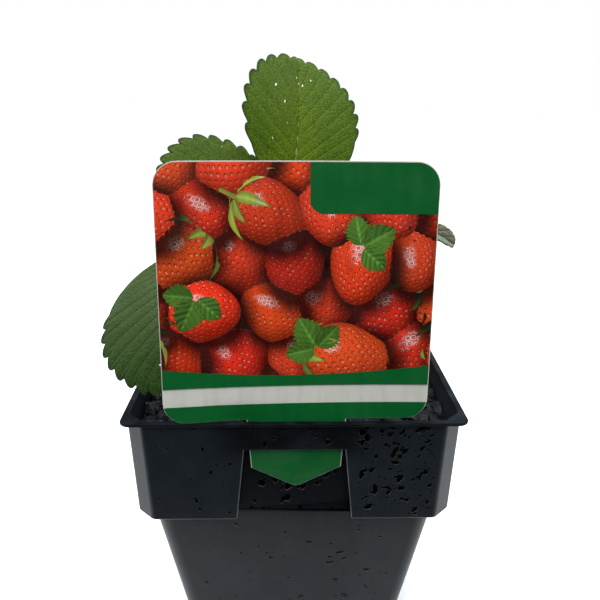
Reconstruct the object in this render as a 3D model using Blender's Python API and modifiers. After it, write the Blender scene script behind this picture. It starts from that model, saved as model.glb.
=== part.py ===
"""Strawberry plant in a square nursery pot, with a stand-up label in the pot's slot.

Metres, +Z up. The origin is the centre of the pot's base; the label faces -Y. Leaf and label
places are given in millimetres from the centre of the pot's rim plane, because the rim is
what the plant and the label are set out from.
"""
import math
from typing import NamedTuple

import bmesh
import bpy
import numpy as np
from mathutils import Vector, noise

MM = 0.001
GAP = 0.3 * MM
CLEAR = 3.0 * MM

# Square pot
POT_HEIGHT = 88.0 * MM
POT_HALF_WIDTH = 45.0 * MM
POT_WALL = 1.0 * MM
POT_FLOOR = 1.2 * MM
LIP_THICKNESS = 0.9 * MM
LIP_OVERHANG = 0.87 * MM
LIP_CORNER_RADIUS = 2.6 * MM
COLLAR_DEPTH = 30.3 * MM
COLLAR_TAPER = 0.04
COLLAR_CORNER_RADIUS = 5.8 * MM
SHOULDER_STEP = 3.65 * MM
SHOULDER_SLOPE = 0.4 * MM
BODY_TAPER = 0.172
BODY_CORNER_RADIUS = 5.2 * MM
BASE_CORNER_RADIUS = 4.4 * MM
BASE_BEVEL = 0.8 * MM
CORNER_SEGMENTS = 5
COLLAR_CORNER_FLATNESS = 0.6

# Label slot: an open pocket behind a band, with a window below the band
BAND_DEPTH = 8.3 * MM
BAND_THICKNESS = 0.7 * MM
SLOT_DEPTH = SHOULDER_STEP - BAND_THICKNESS
SLOT_HALF_WIDTH = 13.2 * MM
WINDOW_BOTTOM_HALF_WIDTH = 15.5 * MM
WINDOW_SINK = 0.03 * MM
WINDOW_RUNOUT = 1.0 * MM

# Drain holes in the floor
DRAIN_RADIUS = 3.2 * MM
DRAIN_OFFSET = 17.5 * MM
SIDE_DRAIN_RADIUS = 2.2 * MM

# Soil
SOIL_DEPTH = 6.5 * MM
SOIL_RELIEF = 2.2 * MM
SOIL_LUMPS_PER_MM = 0.16
SOIL_CALM_FROM = 5.0
SOIL_CALM_TO = 12.0
SOIL_GRID = 20
SOIL_SEED = 7

# Crown, and the ring around it where the leaf stalks enter the soil
CROWN_CENTRE = (0.0, 4.0)
CROWN_RADIUS = 4.6 * MM
CROWN_RISE = 5.0 * MM
CROWN_SINK = 9.0 * MM
ROOT_RING = 7.4
ROOT_DEPTH = 17.0

# Leaves
BLADE_THICKNESS = 0.7 * MM
STALK_RADIUS = 1.15 * MM
STALK_END_RADIUS = 0.98 * MM
RIB_RADIUS = 0.75 * MM
RIB_END_RADIUS = 0.4 * MM
RIB_SINK = -0.25
RIB_STOPS = (0.04, 0.2, 0.38, 0.55)
MIDRIB_REACH = 0.82
MIDRIB_CURVE = 1.15

# Leaf teeth: how far each one leans to the tip, its form, and the share of a pitch where it peaks
TOOTH_LEAN = 0.45
TOOTH_SKEW = 1.35
TOOTH_BLUNTNESS = 0.65
TOOTH_PEAK = 0.45
TOOTH_STEPS = (0.0, 0.3, 0.6, 0.82)
PLAIN_STEPS = (0.2, 0.4, 0.6, 0.8)
PLAIN_RING_STEPS = (0.35, 0.7)

# The blade's inner rings of points: how far each lies from the midrib (0) to the edge (1),
# and how many teeth apart its points are
RINGS = ((0.8, 1), (0.42, 2), (0.0, 2))
MARGIN_SAMPLES = 300
ARCH_STEPS = 23

# Label
LABEL_HALF_WIDTH = 33.55 * MM
LABEL_HEIGHT = 65.1 * MM
LABEL_CORNER_RADIUS = 4.6 * MM
LABEL_THICKNESS = 0.5 * MM
LABEL_LIFT = 0.35 * MM
LABEL_CENTRE_X = 0.4 * MM
STEM_TOP_HALF_WIDTH = 12.8 * MM
STEM_SHOULDER_HALF_WIDTH = 11.9 * MM
STEM_SHOULDER_DEPTH = 14.5 * MM
STEM_TIP_DEPTH = 20.5 * MM
STEM_TIP_RADIUS = 2.0 * MM
LABEL_GRID = 6.6 * MM
LABEL_ROWS = (-8.0 * MM, LABEL_LIFT, 3.0 * MM, 7.0 * MM, 22.0 * MM, 40.0 * MM)

# How the label stands, in mm: its place at the rim, then how it leans, skews and curls
LABEL_Y = -42.75
LABEL_LEAN = 0.0478
LABEL_SKEW = 0.048
LABEL_CURL = 0.0011
LABEL_TWIST = 0.0004
STEM_LEAN = 0.09
STEM_SKEW = 0.02
STEM_BLEND = 6.0
WING_BLEND = 10.0

# Colours
POT_BLACK = (0.012, 0.015, 0.018)
SOIL_BLACK = (0.010, 0.009, 0.009)
CROWN_BROWN = (0.16, 0.075, 0.035)
LABEL_RED = (0.55, 0.06, 0.03)
LEAF_GREEN = (0.075, 0.19, 0.035)
YOUNG_GREEN = (0.20, 0.29, 0.13)


class Leaflet(NamedTuple):
    """One blade: its place in mm from the rim centre, its size in mm, its curvature and its teeth.

    plain is the share of the edge, from the base on, that has no teeth, and bite is how deep
    the teeth are against the blade's mean size.
    """

    base: tuple
    direction: tuple
    normal: tuple
    length: float
    width: float
    fold: float = 0.1
    cup: float = 0.1
    arch: float = 0.5
    fullness: float = 0.8
    roundness: float = 1.1
    teeth: int = 9
    plain: float = 0.22
    bite: float = 0.045


class Leaf(NamedTuple):
    """One leaf: where its stalk enters the soil, the way the stalk takes, and its blades."""

    name: str
    root_angle: float
    stalk: tuple
    blades: tuple
    colour: tuple


LEAVES = (
    Leaf(
        "leaf_tall",
        95.0,
        ((0.6, 9.5, 8.0), (0.4, 6.5, 28.0), (-0.4, 4.2, 46.0)),
        (
            Leaflet((-0.85, 4.0, 50.3), (0.151, 0.346, 0.926), (0.406, -0.876, 0.261), 46.5, 37.2,
                    fold=0.215, cup=0.01, arch=0.47, fullness=1.03, roundness=1.18, teeth=7,
                    plain=0.40, bite=0.036),
            Leaflet((-4.0, 2.0, 52.8), (-0.965, -0.15, 0.213), (0.26, -0.597, 0.759), 34.4, 28.4,
                    fold=0.14, cup=0.09, arch=0.115, fullness=0.66, roundness=1.19, teeth=8,
                    plain=0.2, bite=0.06),
            Leaflet((2.6, 5.5, 50.5), (0.83, 0.5, -0.22), (0.25, -0.1, 0.96), 36.0, 31.0,
                    fold=0.14, cup=0.09, arch=0.55, fullness=0.72, roundness=1.12, teeth=8),
        ),
        LEAF_GREEN,
    ),
    Leaf(
        "leaf_left",
        205.0,
        ((-10.5, -1.5, 6.0), (-18.5, -4.5, 23.0), (-28.2, -8.2, 35.9)),
        (
            Leaflet((-32.7, -11.0, 36.3), (-0.084, -0.701, -0.709), (-0.217, -0.681, 0.699),
                    39.6, 41.7, fold=0.005, cup=0.26, arch=0.44, fullness=0.785, roundness=0.994,
                    teeth=8, plain=0.45, bite=0.046),
            Leaflet((-26.0, -8.8, 36.9), (0.9, -0.12, -0.42), (0.3, -0.5, 0.81), 32.0, 29.0,
                    fold=0.05, cup=0.15, arch=0.5, roundness=1.08, teeth=8),
            Leaflet((-28.9, -5.8, 36.7), (0.07, 0.95, -0.28), (-0.2, 0.25, 0.93), 33.0, 30.0,
                    fold=0.05, cup=0.15, arch=0.6, roundness=1.08, teeth=8),
        ),
        LEAF_GREEN,
    ),
    Leaf(
        "leaf_back",
        35.0,
        ((9.0, 10.0, 2.0), (13.5, 12.5, 13.0), (18.2, 14.2, 21.8)),
        (
            Leaflet((22.0, 17.0, 24.0), (0.45, 0.86, 0.05), (-0.05, -0.1, 1.0), 36.0, 34.0,
                    fold=0.12, arch=0.7),
            Leaflet((19.0, 16.5, 24.2), (-0.62, 0.78, 0.02), (0.0, -0.1, 1.0), 29.0, 26.0,
                    fold=0.12, arch=0.5, teeth=8),
            Leaflet((22.0, 14.5, 23.6), (0.86, -0.18, -0.35), (0.3, -0.1, 0.95), 24.0, 23.0,
                    fold=0.12, arch=0.6, teeth=8),
        ),
        LEAF_GREEN,
    ),
    Leaf(
        "leaf_young",
        -30.0,
        ((12.5, -1.0, 6.0), (22.0, -3.5, 24.0), (31.0, -5.5, 40.0)),
        (
            Leaflet((36.2, -6.0, 43.3), (0.93, -0.25, -0.3), (0.3, -0.8, 0.5), 12.4, 5.8,
                    fold=0.65, cup=0.0, arch=0.6, teeth=4, bite=0.034),
            Leaflet((34.5, -4.9, 42.2), (0.2, 0.5, -0.8), (0.5, 0.3, 0.75), 9.0, 6.4,
                    fold=0.8, cup=0.0, arch=0.3, teeth=5),
            Leaflet((34.2, -7.2, 42.0), (0.1, -0.48, -0.85), (0.5, -0.5, 0.75), 9.0, 6.4,
                    fold=0.8, cup=0.0, arch=0.3, teeth=5),
        ),
        YOUNG_GREEN,
    ),
)


# ---------------------------------------------------------------- scene helpers

def clear_scene():
    for item in list(bpy.data.objects):
        bpy.data.objects.remove(item, do_unlink=True)


def make_collection(name):
    collection = bpy.data.collections.new(name)
    bpy.context.scene.collection.children.link(collection)
    return collection


def principled(name, colour, roughness):
    material = bpy.data.materials.new(name)
    material.use_nodes = True
    shader = material.node_tree.nodes["Principled BSDF"]
    shader.inputs["Base Color"].default_value = (*colour, 1.0)
    shader.inputs["Roughness"].default_value = roughness
    shader.inputs["Metallic"].default_value = 0.0
    return material


def add_object(name, mesh, collection, material=None):
    item = bpy.data.objects.new(name, mesh)
    collection.objects.link(item)
    if material:
        mesh.materials.clear()
        mesh.materials.append(material)
    return item


def mesh_from(bm, name):
    mesh = bpy.data.meshes.new(name)
    bm.to_mesh(mesh)
    bm.free()
    return mesh


def bake(item):
    """Replace an object's data by the mesh that its modifiers give."""
    bpy.context.view_layer.update()
    evaluated = item.evaluated_get(bpy.context.evaluated_depsgraph_get())
    mesh = bpy.data.meshes.new_from_object(evaluated)
    if item.type == "MESH":
        item.modifiers.clear()
        item.data = mesh
        return item
    baked = add_object(item.name + "_mesh", mesh, item.users_collection[0])
    baked.matrix_world = item.matrix_world
    bpy.data.objects.remove(item, do_unlink=True)
    return baked


def boolean(item, cutter, operation="DIFFERENCE"):
    modifier = item.modifiers.new(operation.lower(), "BOOLEAN")
    modifier.operation = operation
    modifier.object = cutter
    bake(item)
    bpy.data.objects.remove(cutter, do_unlink=True)
    return item


def smooth(item, angle=35.0):
    item.data.shade_smooth()
    item.data.set_sharp_from_angle(angle=math.radians(angle))


def from_rim(point):
    """A point in millimetres from the rim centre, in the part's own frame."""
    x, y, z = point
    return Vector((x * MM, y * MM, POT_HEIGHT + z * MM))


# ---------------------------------------------------------------- square pot

def square_ring(half_width, radius, z, flatness=0.0):
    """Corners of a rounded square, counter-clockwise from above; flatness 1 is a chamfer."""
    points = []
    centre = half_width - radius
    for quarter, (sx, sy) in enumerate(((1, 1), (-1, 1), (-1, -1), (1, -1))):
        middle = Vector((sx * centre, sy * centre, z))
        start = Vector((math.cos(math.pi / 2 * quarter), math.sin(math.pi / 2 * quarter), 0.0))
        end = Vector((-start.y, start.x, 0.0))
        for step in range(CORNER_SEGMENTS + 1):
            share = step / CORNER_SEGMENTS
            angle = math.pi / 2 * share
            rounded = start * math.cos(angle) + end * math.sin(angle)
            points.append(middle + radius * rounded.lerp(start.lerp(end, share), flatness))
    return points


def loft(name, rings, collection):
    """A closed solid through rings that all have the same number of points."""
    bm = bmesh.new()
    rows = [[bm.verts.new(point) for point in ring] for ring in rings]
    count = len(rows[0])
    for low, high in zip(rows, rows[1:]):
        for i in range(count):
            j = (i + 1) % count
            bm.faces.new((low[i], low[j], high[j], high[i]))
    bm.faces.new(list(reversed(rows[0])))
    bm.faces.new(rows[-1])
    return add_object(name, mesh_from(bm, name), collection)


def collar_half_width(depth):
    return POT_HALF_WIDTH - LIP_OVERHANG - COLLAR_TAPER * depth


def body_half_width(depth):
    top = collar_half_width(COLLAR_DEPTH) - SHOULDER_STEP
    return top - BODY_TAPER * (depth - COLLAR_DEPTH)


def pot_outer_rings():
    base = body_half_width(POT_HEIGHT)
    shoulder = POT_HEIGHT - COLLAR_DEPTH
    lip = POT_HEIGHT - LIP_THICKNESS
    return [
        square_ring(base - BASE_BEVEL, BASE_CORNER_RADIUS, 0.0),
        square_ring(base, BASE_CORNER_RADIUS, BASE_BEVEL),
        square_ring(body_half_width(COLLAR_DEPTH), BODY_CORNER_RADIUS, shoulder),
        square_ring(collar_half_width(COLLAR_DEPTH), COLLAR_CORNER_RADIUS, shoulder + SHOULDER_SLOPE,
                    COLLAR_CORNER_FLATNESS),
        square_ring(collar_half_width(LIP_THICKNESS), COLLAR_CORNER_RADIUS, lip,
                    COLLAR_CORNER_FLATNESS),
        square_ring(POT_HALF_WIDTH, LIP_CORNER_RADIUS, lip),
        square_ring(POT_HALF_WIDTH, LIP_CORNER_RADIUS, POT_HEIGHT),
    ]


def pot_inner_rings(inset, floor, top):
    """The pot's inside, drawn in by inset from its outer wall."""
    ledge = POT_HEIGHT - COLLAR_DEPTH + inset
    return [
        square_ring(body_half_width(POT_HEIGHT - floor) - inset, BASE_CORNER_RADIUS, floor),
        square_ring(body_half_width(COLLAR_DEPTH) - inset, BODY_CORNER_RADIUS - inset, ledge),
        square_ring(collar_half_width(COLLAR_DEPTH) - inset, COLLAR_CORNER_RADIUS - inset,
                    ledge + SHOULDER_SLOPE, COLLAR_CORNER_FLATNESS),
        square_ring(collar_half_width(POT_HEIGHT - top) - inset, COLLAR_CORNER_RADIUS - inset, top,
                    COLLAR_CORNER_FLATNESS),
    ]


def slot_face(depth):
    """Distance from the pot's axis to the slot's back wall, at a depth below the rim."""
    return collar_half_width(depth) - BAND_THICKNESS - SLOT_DEPTH


def slot_half_width(depth):
    share = max(0.0, (depth - BAND_DEPTH) / (COLLAR_DEPTH - BAND_DEPTH))
    return SLOT_HALF_WIDTH + share * (WINDOW_BOTTOM_HALF_WIDTH - SLOT_HALF_WIDTH)


def slot_prism(name, depths, inner, outer, widen, side, collection):
    """A prism in the collar's face; side is -1 for the front and +1 for the back."""
    rings = []
    for depth in depths:
        half = slot_half_width(depth) + widen
        near = side * inner(depth)
        far = side * outer(depth)
        z = POT_HEIGHT - depth
        ring = [Vector((-half, far, z)), Vector((half, far, z)), Vector((half, near, z)),
                Vector((-half, near, z))]
        rings.append(ring if side < 0 else list(reversed(ring)))
    return loft(name, rings, collection)


def slot_body(name, widen, back, side, collection):
    """The wall around the slot, as the soil and the pot's inside go round it."""
    depths = (COLLAR_DEPTH + CLEAR, BAND_DEPTH, -CLEAR)
    return slot_prism(name, depths, lambda depth: slot_face(depth) - back,
                      lambda depth: POT_HALF_WIDTH + CLEAR, widen, side, collection)


def cut_slot(pot, side, cutters):
    """Open the pocket behind the band and the window below it."""
    pocket = slot_prism("pocket", (BAND_DEPTH + 1 * MM, -1 * MM), slot_face,
                        lambda depth: collar_half_width(depth) - BAND_THICKNESS, 0.0, side, cutters)
    boolean(pot, pocket)
    window = slot_prism("window", (COLLAR_DEPTH + WINDOW_RUNOUT, BAND_DEPTH),
                        lambda depth: slot_face(depth) - WINDOW_SINK,
                        lambda depth: POT_HALF_WIDTH + CLEAR, 0.0, side, cutters)
    boolean(pot, window)


def make_cylinder(name, radius, depth, location, collection, sides=20):
    bm = bmesh.new()
    bmesh.ops.create_cone(bm, cap_ends=True, segments=sides, radius1=radius, radius2=radius,
                          depth=depth)
    item = add_object(name, mesh_from(bm, name), collection)
    item.location = location
    return item


def build_pot(parts, cutters):
    pot = loft("pot", pot_outer_rings(), parts)
    inside = loft("inside", pot_inner_rings(POT_WALL, POT_FLOOR, POT_HEIGHT + 1 * MM), cutters)
    for side in (-1, 1):
        boolean(inside, slot_body("slot_wall", POT_WALL, POT_WALL, side, cutters))
    boolean(pot, inside)
    for side in (-1, 1):
        cut_slot(pot, side, cutters)
    for x in (-1, 0, 1):
        for y in (-1, 0, 1):
            if x or y:
                radius = DRAIN_RADIUS if x and y else SIDE_DRAIN_RADIUS
                place = Vector((x * DRAIN_OFFSET, y * DRAIN_OFFSET, 0.0))
                boolean(pot, make_cylinder("drain", radius, 2 * CLEAR, place, cutters))
    pot.data.materials.append(principled("pot_plastic", POT_BLACK, 0.38))
    smooth(pot)
    return pot


# ---------------------------------------------------------------- curves

def catmull(points, per_span):
    """A smooth line through the points."""
    ends = [2 * points[0] - points[1], *points, 2 * points[-1] - points[-2]]
    line = []
    for a, b, c, d in zip(ends, ends[1:], ends[2:], ends[3:]):
        for step in range(per_span):
            t = step / per_span
            line.append(0.5 * (2 * b + (c - a) * t + (2 * a - 5 * b + 4 * c - d) * t * t
                               + (3 * b - a - 3 * c + d) * t ** 3))
    line.append(points[-1].copy())
    return line


def tube(name, line, radii, collection, resolution=2):
    """A round bar along a line, with a radius at each point, as a closed mesh."""
    curve = bpy.data.curves.new(name, "CURVE")
    curve.dimensions = "3D"
    curve.bevel_depth = 1.0
    curve.bevel_resolution = resolution
    curve.use_fill_caps = True
    spline = curve.splines.new("POLY")
    spline.points.add(len(line) - 1)
    for point, place, radius in zip(spline.points, line, radii):
        point.co = (*place, 1.0)
        point.radius = radius
    item = bpy.data.objects.new(name, curve)
    collection.objects.link(item)
    item = bake(item)
    bm = bmesh.new()
    bm.from_mesh(item.data)
    bmesh.ops.remove_doubles(bm, verts=bm.verts, dist=1e-6)
    bm.to_mesh(item.data)
    bm.free()
    return item


def taper(count, start, end):
    return [start + (end - start) * i / (count - 1) for i in range(count)]


# ---------------------------------------------------------------- leaves

def margin(blade, share, toothed=True):
    """A point on the blade's edge, in mm: share runs from 0 at the base to 1 at the tip."""
    angle = np.linspace(0.0, math.pi, MARGIN_SAMPLES)
    along = blade.length * ((1 - np.cos(angle)) / 2) ** blade.fullness
    across = 0.5 * blade.width * np.sin(angle) ** blade.roundness
    arc = np.concatenate([[0.0], np.cumsum(np.hypot(np.diff(across), np.diff(along)))])
    place = share * arc[-1]
    x = float(np.interp(place, arc, across))
    y = float(np.interp(place, arc, along))
    tangent = Vector((
        float(np.interp(place, arc, np.gradient(across, arc))),
        float(np.interp(place, arc, np.gradient(along, arc))),
    )).normalized()
    height = tooth_height(blade, share) if toothed else 0.0
    lean = TOOTH_LEAN * min(1.0, 4 * (1 - share))
    x += height * (tangent.y + lean * tangent.x)
    y += height * (-tangent.x + lean * tangent.y)
    return (0.0 if share >= 1 else max(x, 0.0)), y


def tooth_pitch(blade):
    return (1 - blade.plain) / (blade.teeth + 0.5)


def tooth_height(blade, share):
    """How far the edge stands out at a share of its length; the tip is half a tooth."""
    if share <= blade.plain:
        return 0.0
    phase = (share - blade.plain) / tooth_pitch(blade)
    within = phase - math.floor(phase + 1e-9)
    if phase >= blade.teeth - 1e-9:
        profile = math.sin(math.pi * min(max(phase - blade.teeth, 0.0), 0.5)) ** TOOTH_BLUNTNESS
    else:
        swing = math.sin(math.pi * max(within, 0.0) ** TOOTH_SKEW)
        profile = max(swing, 0.0) ** TOOTH_BLUNTNESS
    growth = min(1.0, 0.45 + 4 * (share - blade.plain))
    return blade.bite * math.sqrt(blade.length * blade.width) * profile * growth


def edge_shares(blade):
    """Where along the edge the points of the plain base, the teeth and the tip lie."""
    pitch = tooth_pitch(blade)
    shares = [0.0, *(blade.plain * step for step in PLAIN_STEPS)]
    for tooth in range(blade.teeth):
        shares += [blade.plain + pitch * (tooth + step) for step in TOOTH_STEPS]
    return shares + [1 - pitch * 0.5, 1 - pitch * 0.25, 1.0]


def ring_shares(blade, stride):
    """Where an inner ring's points lie: behind every tooth, or every few of them."""
    pitch = tooth_pitch(blade)
    teeth = [blade.plain + pitch * (tooth + TOOTH_PEAK) for tooth in range(0, blade.teeth, stride)]
    plain = [blade.plain * step for step in PLAIN_RING_STEPS]
    return [0.0, *plain, *teeth, 1.0]


def blade_point(blade, side, reach, share):
    """A point of the flat blade: reach runs from 0 on the midrib to 1 at the toothed edge."""
    x, y = margin(blade, share, toothed=reach > 0.99)
    rib = MIDRIB_REACH * share ** MIDRIB_CURVE * blade.length
    return side * reach * x, rib + (y - rib) * reach


def blade_frame(blade):
    along = Vector(blade.direction).normalized()
    up = Vector(blade.normal)
    up = (up - along * up.dot(along)).normalized()
    return along.cross(up), along, up


def bend(blade, x, y, lift=0.0):
    """Fold, cup and arch a point of the flat blade into its place, in the part's frame."""
    share = y / blade.length
    soft = math.hypot(x, 0.02 * blade.width) - 0.02 * blade.width
    z = blade.fold * soft - blade.cup * x * x / blade.width + lift
    end = blade.arch * share
    turns = end * (np.arange(ARCH_STEPS) + 0.5) / ARCH_STEPS
    forward = y * float(np.mean(np.cos(turns))) + z * math.sin(end)
    rise = -y * float(np.mean(np.sin(turns))) + z * math.cos(end)
    across, along, up = blade_frame(blade)
    squeeze = math.sqrt(1 - 0.5 * min(blade.fold, 0.95) ** 2)
    local = Vector(blade.base) + across * (x * squeeze) + along * forward + up * rise
    return from_rim(local)


def stitch(bm, outer, inner, side):
    """Triangles between two lines of vertices from base to tip, by the shorter diagonal."""
    i = j = 0
    while i < len(outer) - 1 or j < len(inner) - 1:
        if j == len(inner) - 1:
            step_outer = True
        elif i == len(outer) - 1:
            step_outer = False
        else:
            ahead = (outer[i + 1].co - inner[j].co).length
            step_outer = ahead < (inner[j + 1].co - outer[i].co).length
        if step_outer:
            corners = [outer[i], outer[i + 1], inner[j]]
            i += 1
        else:
            corners = [outer[i], inner[j + 1], inner[j]]
            j += 1
        if len(set(corners)) == 3:
            bm.faces.new(corners if side > 0 else list(reversed(corners)))


def build_blade(name, blade, collection):
    """One leaflet: an open toothed surface, thickened evenly to both sides."""
    bm = bmesh.new()
    base = bm.verts.new(bend(blade, 0.0, 0.0))
    centre = {}

    def vertex(side, reach, share):
        x, y = blade_point(blade, side, reach, share)
        if share == 0.0:
            return base
        if abs(x) < 1e-9:
            key = round(y, 4)
            if key not in centre:
                centre[key] = bm.verts.new(bend(blade, 0.0, y))
            return centre[key]
        return bm.verts.new(bend(blade, x, y))

    for side in (1, -1):
        line = [vertex(side, 1.0, share) for share in edge_shares(blade)]
        for reach, stride in RINGS:
            ring = [vertex(side, reach, share) for share in ring_shares(blade, stride)]
            stitch(bm, line, ring, side)
            line = ring
    item = add_object(name, mesh_from(bm, name), collection)
    solidify = item.modifiers.new("thickness", "SOLIDIFY")
    solidify.thickness = BLADE_THICKNESS
    solidify.offset = 0.0
    return bake(item)


def build_rib(name, leaf, blade, collection):
    """A blade's own short stalk, which goes on as the raised rib under the blade."""
    under = [bend(blade, 0.0, blade.length * share, RIB_SINK) for share in RIB_STOPS]
    line = catmull([from_rim(leaf.stalk[-1]), *under], 2)
    return tube(name, line, taper(len(line), RIB_RADIUS, RIB_END_RADIUS), collection, 1)


def root_point(leaf, z):
    angle = math.radians(leaf.root_angle)
    x = CROWN_CENTRE[0] + ROOT_RING * math.cos(angle)
    y = CROWN_CENTRE[1] + ROOT_RING * math.sin(angle)
    return from_rim((x, y, z))


def stalk_line(leaf):
    surface = -SOIL_DEPTH / MM
    points = [root_point(leaf, -ROOT_DEPTH), root_point(leaf, surface + 0.5)]
    points += [from_rim(point) for point in leaf.stalk]
    return catmull(points, 4)


def build_leaf(leaf, parts):
    """The stalk, joined in one solid with its blades and their ribs."""
    line = stalk_line(leaf)
    stalk = tube(leaf.name, line, taper(len(line), STALK_RADIUS, STALK_END_RADIUS), parts)
    stalk.name = leaf.name
    joined = bpy.data.collections.new(leaf.name + "_blades")
    bpy.context.scene.collection.children.link(joined)
    for number, blade in enumerate(leaf.blades):
        build_blade(f"blade_{number}", blade, joined)
        build_rib(f"rib_{number}", leaf, blade, joined)
    union = stalk.modifiers.new("union", "BOOLEAN")
    union.operation = "UNION"
    union.solver = "MANIFOLD"
    union.operand_type = "COLLECTION"
    union.collection = joined
    bake(stalk)
    for item in list(joined.objects):
        bpy.data.objects.remove(item, do_unlink=True)
    bpy.data.collections.remove(joined)
    stalk.data.materials.clear()
    stalk.data.materials.append(principled(leaf.name + "_green", leaf.colour, 0.42))
    smooth(stalk, 50.0)
    return stalk


# ---------------------------------------------------------------- crown

def build_crown(parts):
    """A short stump in the soil, turned, with the rims of old leaf bases round it."""
    surface = POT_HEIGHT - SOIL_DEPTH
    profile = [
        (0.0, surface + CROWN_RISE),
        (0.45, surface + 0.94 * CROWN_RISE),
        (0.72, surface + 0.7 * CROWN_RISE),
        (0.68, surface + 0.55 * CROWN_RISE),
        (0.92, surface + 0.35 * CROWN_RISE),
        (0.88, surface + 0.2 * CROWN_RISE),
        (1.0, surface),
        (0.95, surface - 0.5 * CROWN_SINK),
        (0.7, surface - CROWN_SINK),
        (0.0, surface - CROWN_SINK),
    ]
    bm = bmesh.new()
    verts = [bm.verts.new((share * CROWN_RADIUS, 0.0, z)) for share, z in profile]
    for a, b in zip(verts, verts[1:]):
        bm.edges.new((a, b))
    crown = add_object("crown", mesh_from(bm, "crown"), parts)
    crown.location = (CROWN_CENTRE[0] * MM, CROWN_CENTRE[1] * MM, 0.0)
    screw = crown.modifiers.new("turn", "SCREW")
    screw.steps = 18
    screw.render_steps = 18
    screw.use_merge_vertices = True
    screw.merge_threshold = 0.00001
    bake(crown)
    crown.data.materials.append(principled("crown_bark", CROWN_BROWN, 0.75))
    smooth(crown)
    return crown


# ---------------------------------------------------------------- soil

def soil_height(x, y):
    """Lumps of bark and peat; the surface is level close to the crown."""
    point = Vector((x / MM * SOIL_LUMPS_PER_MM, y / MM * SOIL_LUMPS_PER_MM, SOIL_SEED))
    lumps = noise.noise(point) + 0.5 * noise.noise(point * 2.3)
    distance = math.hypot(x / MM - CROWN_CENTRE[0], y / MM - CROWN_CENTRE[1])
    calm = min(1.0, max(0.0, (distance - SOIL_CALM_FROM) / (SOIL_CALM_TO - SOIL_CALM_FROM)))
    return POT_HEIGHT - SOIL_DEPTH + SOIL_RELIEF * lumps * calm


def terrain(name, half, bottom, collection):
    """A block with a lumpy top."""
    bm = bmesh.new()
    bmesh.ops.create_grid(bm, x_segments=SOIL_GRID, y_segments=SOIL_GRID, size=half)
    for vertex in bm.verts:
        vertex.co.z = soil_height(vertex.co.x, vertex.co.y)
    bmesh.ops.triangulate(bm, faces=bm.faces)
    rim = [edge for edge in bm.edges if edge.is_boundary]
    skirt = bmesh.ops.extrude_edge_only(bm, edges=rim)["geom"]
    low = [item for item in skirt if isinstance(item, bmesh.types.BMVert)]
    for vertex in low:
        vertex.co.z = bottom
    bmesh.ops.contextual_create(bm, geom=[e for e in bm.edges if e.is_boundary])
    bmesh.ops.recalc_face_normals(bm, faces=bm.faces)
    return add_object(name, mesh_from(bm, name), collection)


def build_soil(crown, parts, cutters):
    """The potting mix: it fills the pot's inside and has a plain hole for each stem."""
    inset = POT_WALL + GAP
    soil = loft("soil", pot_inner_rings(inset, POT_FLOOR + GAP, POT_HEIGHT + CLEAR), parts)
    for side in (-1, 1):
        boolean(soil, slot_body("slot_room", inset, inset, side, cutters))
    boolean(soil, terrain("lumps", POT_HALF_WIDTH + CLEAR, -CLEAR, cutters), "INTERSECT")
    pit_floor = POT_HEIGHT - SOIL_DEPTH - CROWN_SINK - GAP
    pit_top = POT_HEIGHT + CLEAR
    middle = crown.location + Vector((0.0, 0.0, (pit_floor + pit_top) / 2))
    boolean(soil, make_cylinder("pit", CROWN_RADIUS + GAP, pit_top - pit_floor, middle, cutters))
    for leaf in LEAVES:
        line = [root_point(leaf, -ROOT_DEPTH - GAP / MM), *stalk_line(leaf)[1:9]]
        hole = tube("hole", line, [STALK_RADIUS + GAP] * len(line), cutters)
        boolean(soil, hole)
    soil.data.materials.clear()
    soil.data.materials.append(principled("soil_mix", SOIL_BLACK, 0.85))
    smooth(soil, 60.0)
    return soil


# ---------------------------------------------------------------- label

def arc(cx, cy, radius, start, end, steps=5):
    """Points on an arc; angles in degrees."""
    angles = [math.radians(start + (end - start) * i / steps) for i in range(steps + 1)]
    return [(cx + radius * math.cos(a), cy + radius * math.sin(a)) for a in angles]


def label_outline():
    """The label laid flat: a rounded card with a pointed stem, s across and t up from the rim."""
    half = LABEL_HALF_WIDTH
    radius = LABEL_CORNER_RADIUS
    top = LABEL_LIFT + LABEL_HEIGHT
    low = LABEL_LIFT
    right = [
        (STEM_TOP_HALF_WIDTH, low),
        *arc(half - radius, low + radius, radius, -90, 0),
        *arc(half - radius, top - radius, radius, 0, 90),
    ]
    stem = [
        *arc(0.0, STEM_TIP_RADIUS - STEM_TIP_DEPTH, STEM_TIP_RADIUS, -90, -66, 2),
        (STEM_SHOULDER_HALF_WIDTH - 0.8 * MM, -STEM_SHOULDER_DEPTH - 0.4 * MM),
        (STEM_SHOULDER_HALF_WIDTH, -STEM_SHOULDER_DEPTH + 0.8 * MM),
    ]
    side = stem + right
    return side + [(-s, t) for s, t in reversed(side) if s > 1e-6]


def label_place(s, t):
    """Bend the flat label: it leans back, its left wing comes forward and its stem goes down."""
    s_mm = s / MM
    t_mm = t / MM
    above = min(1.0, max(0.0, t_mm / STEM_BLEND))
    beside = min(1.0, max(0.0, (abs(s_mm) - STEM_TOP_HALF_WIDTH / MM) / WING_BLEND))
    card = max(above, beside)
    lean = LABEL_LEAN * t_mm if t_mm > 0 else -STEM_LEAN * t_mm
    curl = LABEL_SKEW * s_mm - LABEL_CURL * s_mm ** 2 - LABEL_TWIST * s_mm * t_mm
    y = LABEL_Y + lean + card * curl + (1 - card) * STEM_SKEW * s_mm
    return Vector((LABEL_CENTRE_X + s, y * MM, POT_HEIGHT + t))


def slice_flat(bm, place, normal):
    """Cut every face that a plane crosses."""
    geometry = bm.verts[:] + bm.edges[:] + bm.faces[:]
    bmesh.ops.bisect_plane(bm, geom=geometry, dist=1e-7, plane_co=place, plane_no=normal)


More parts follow.
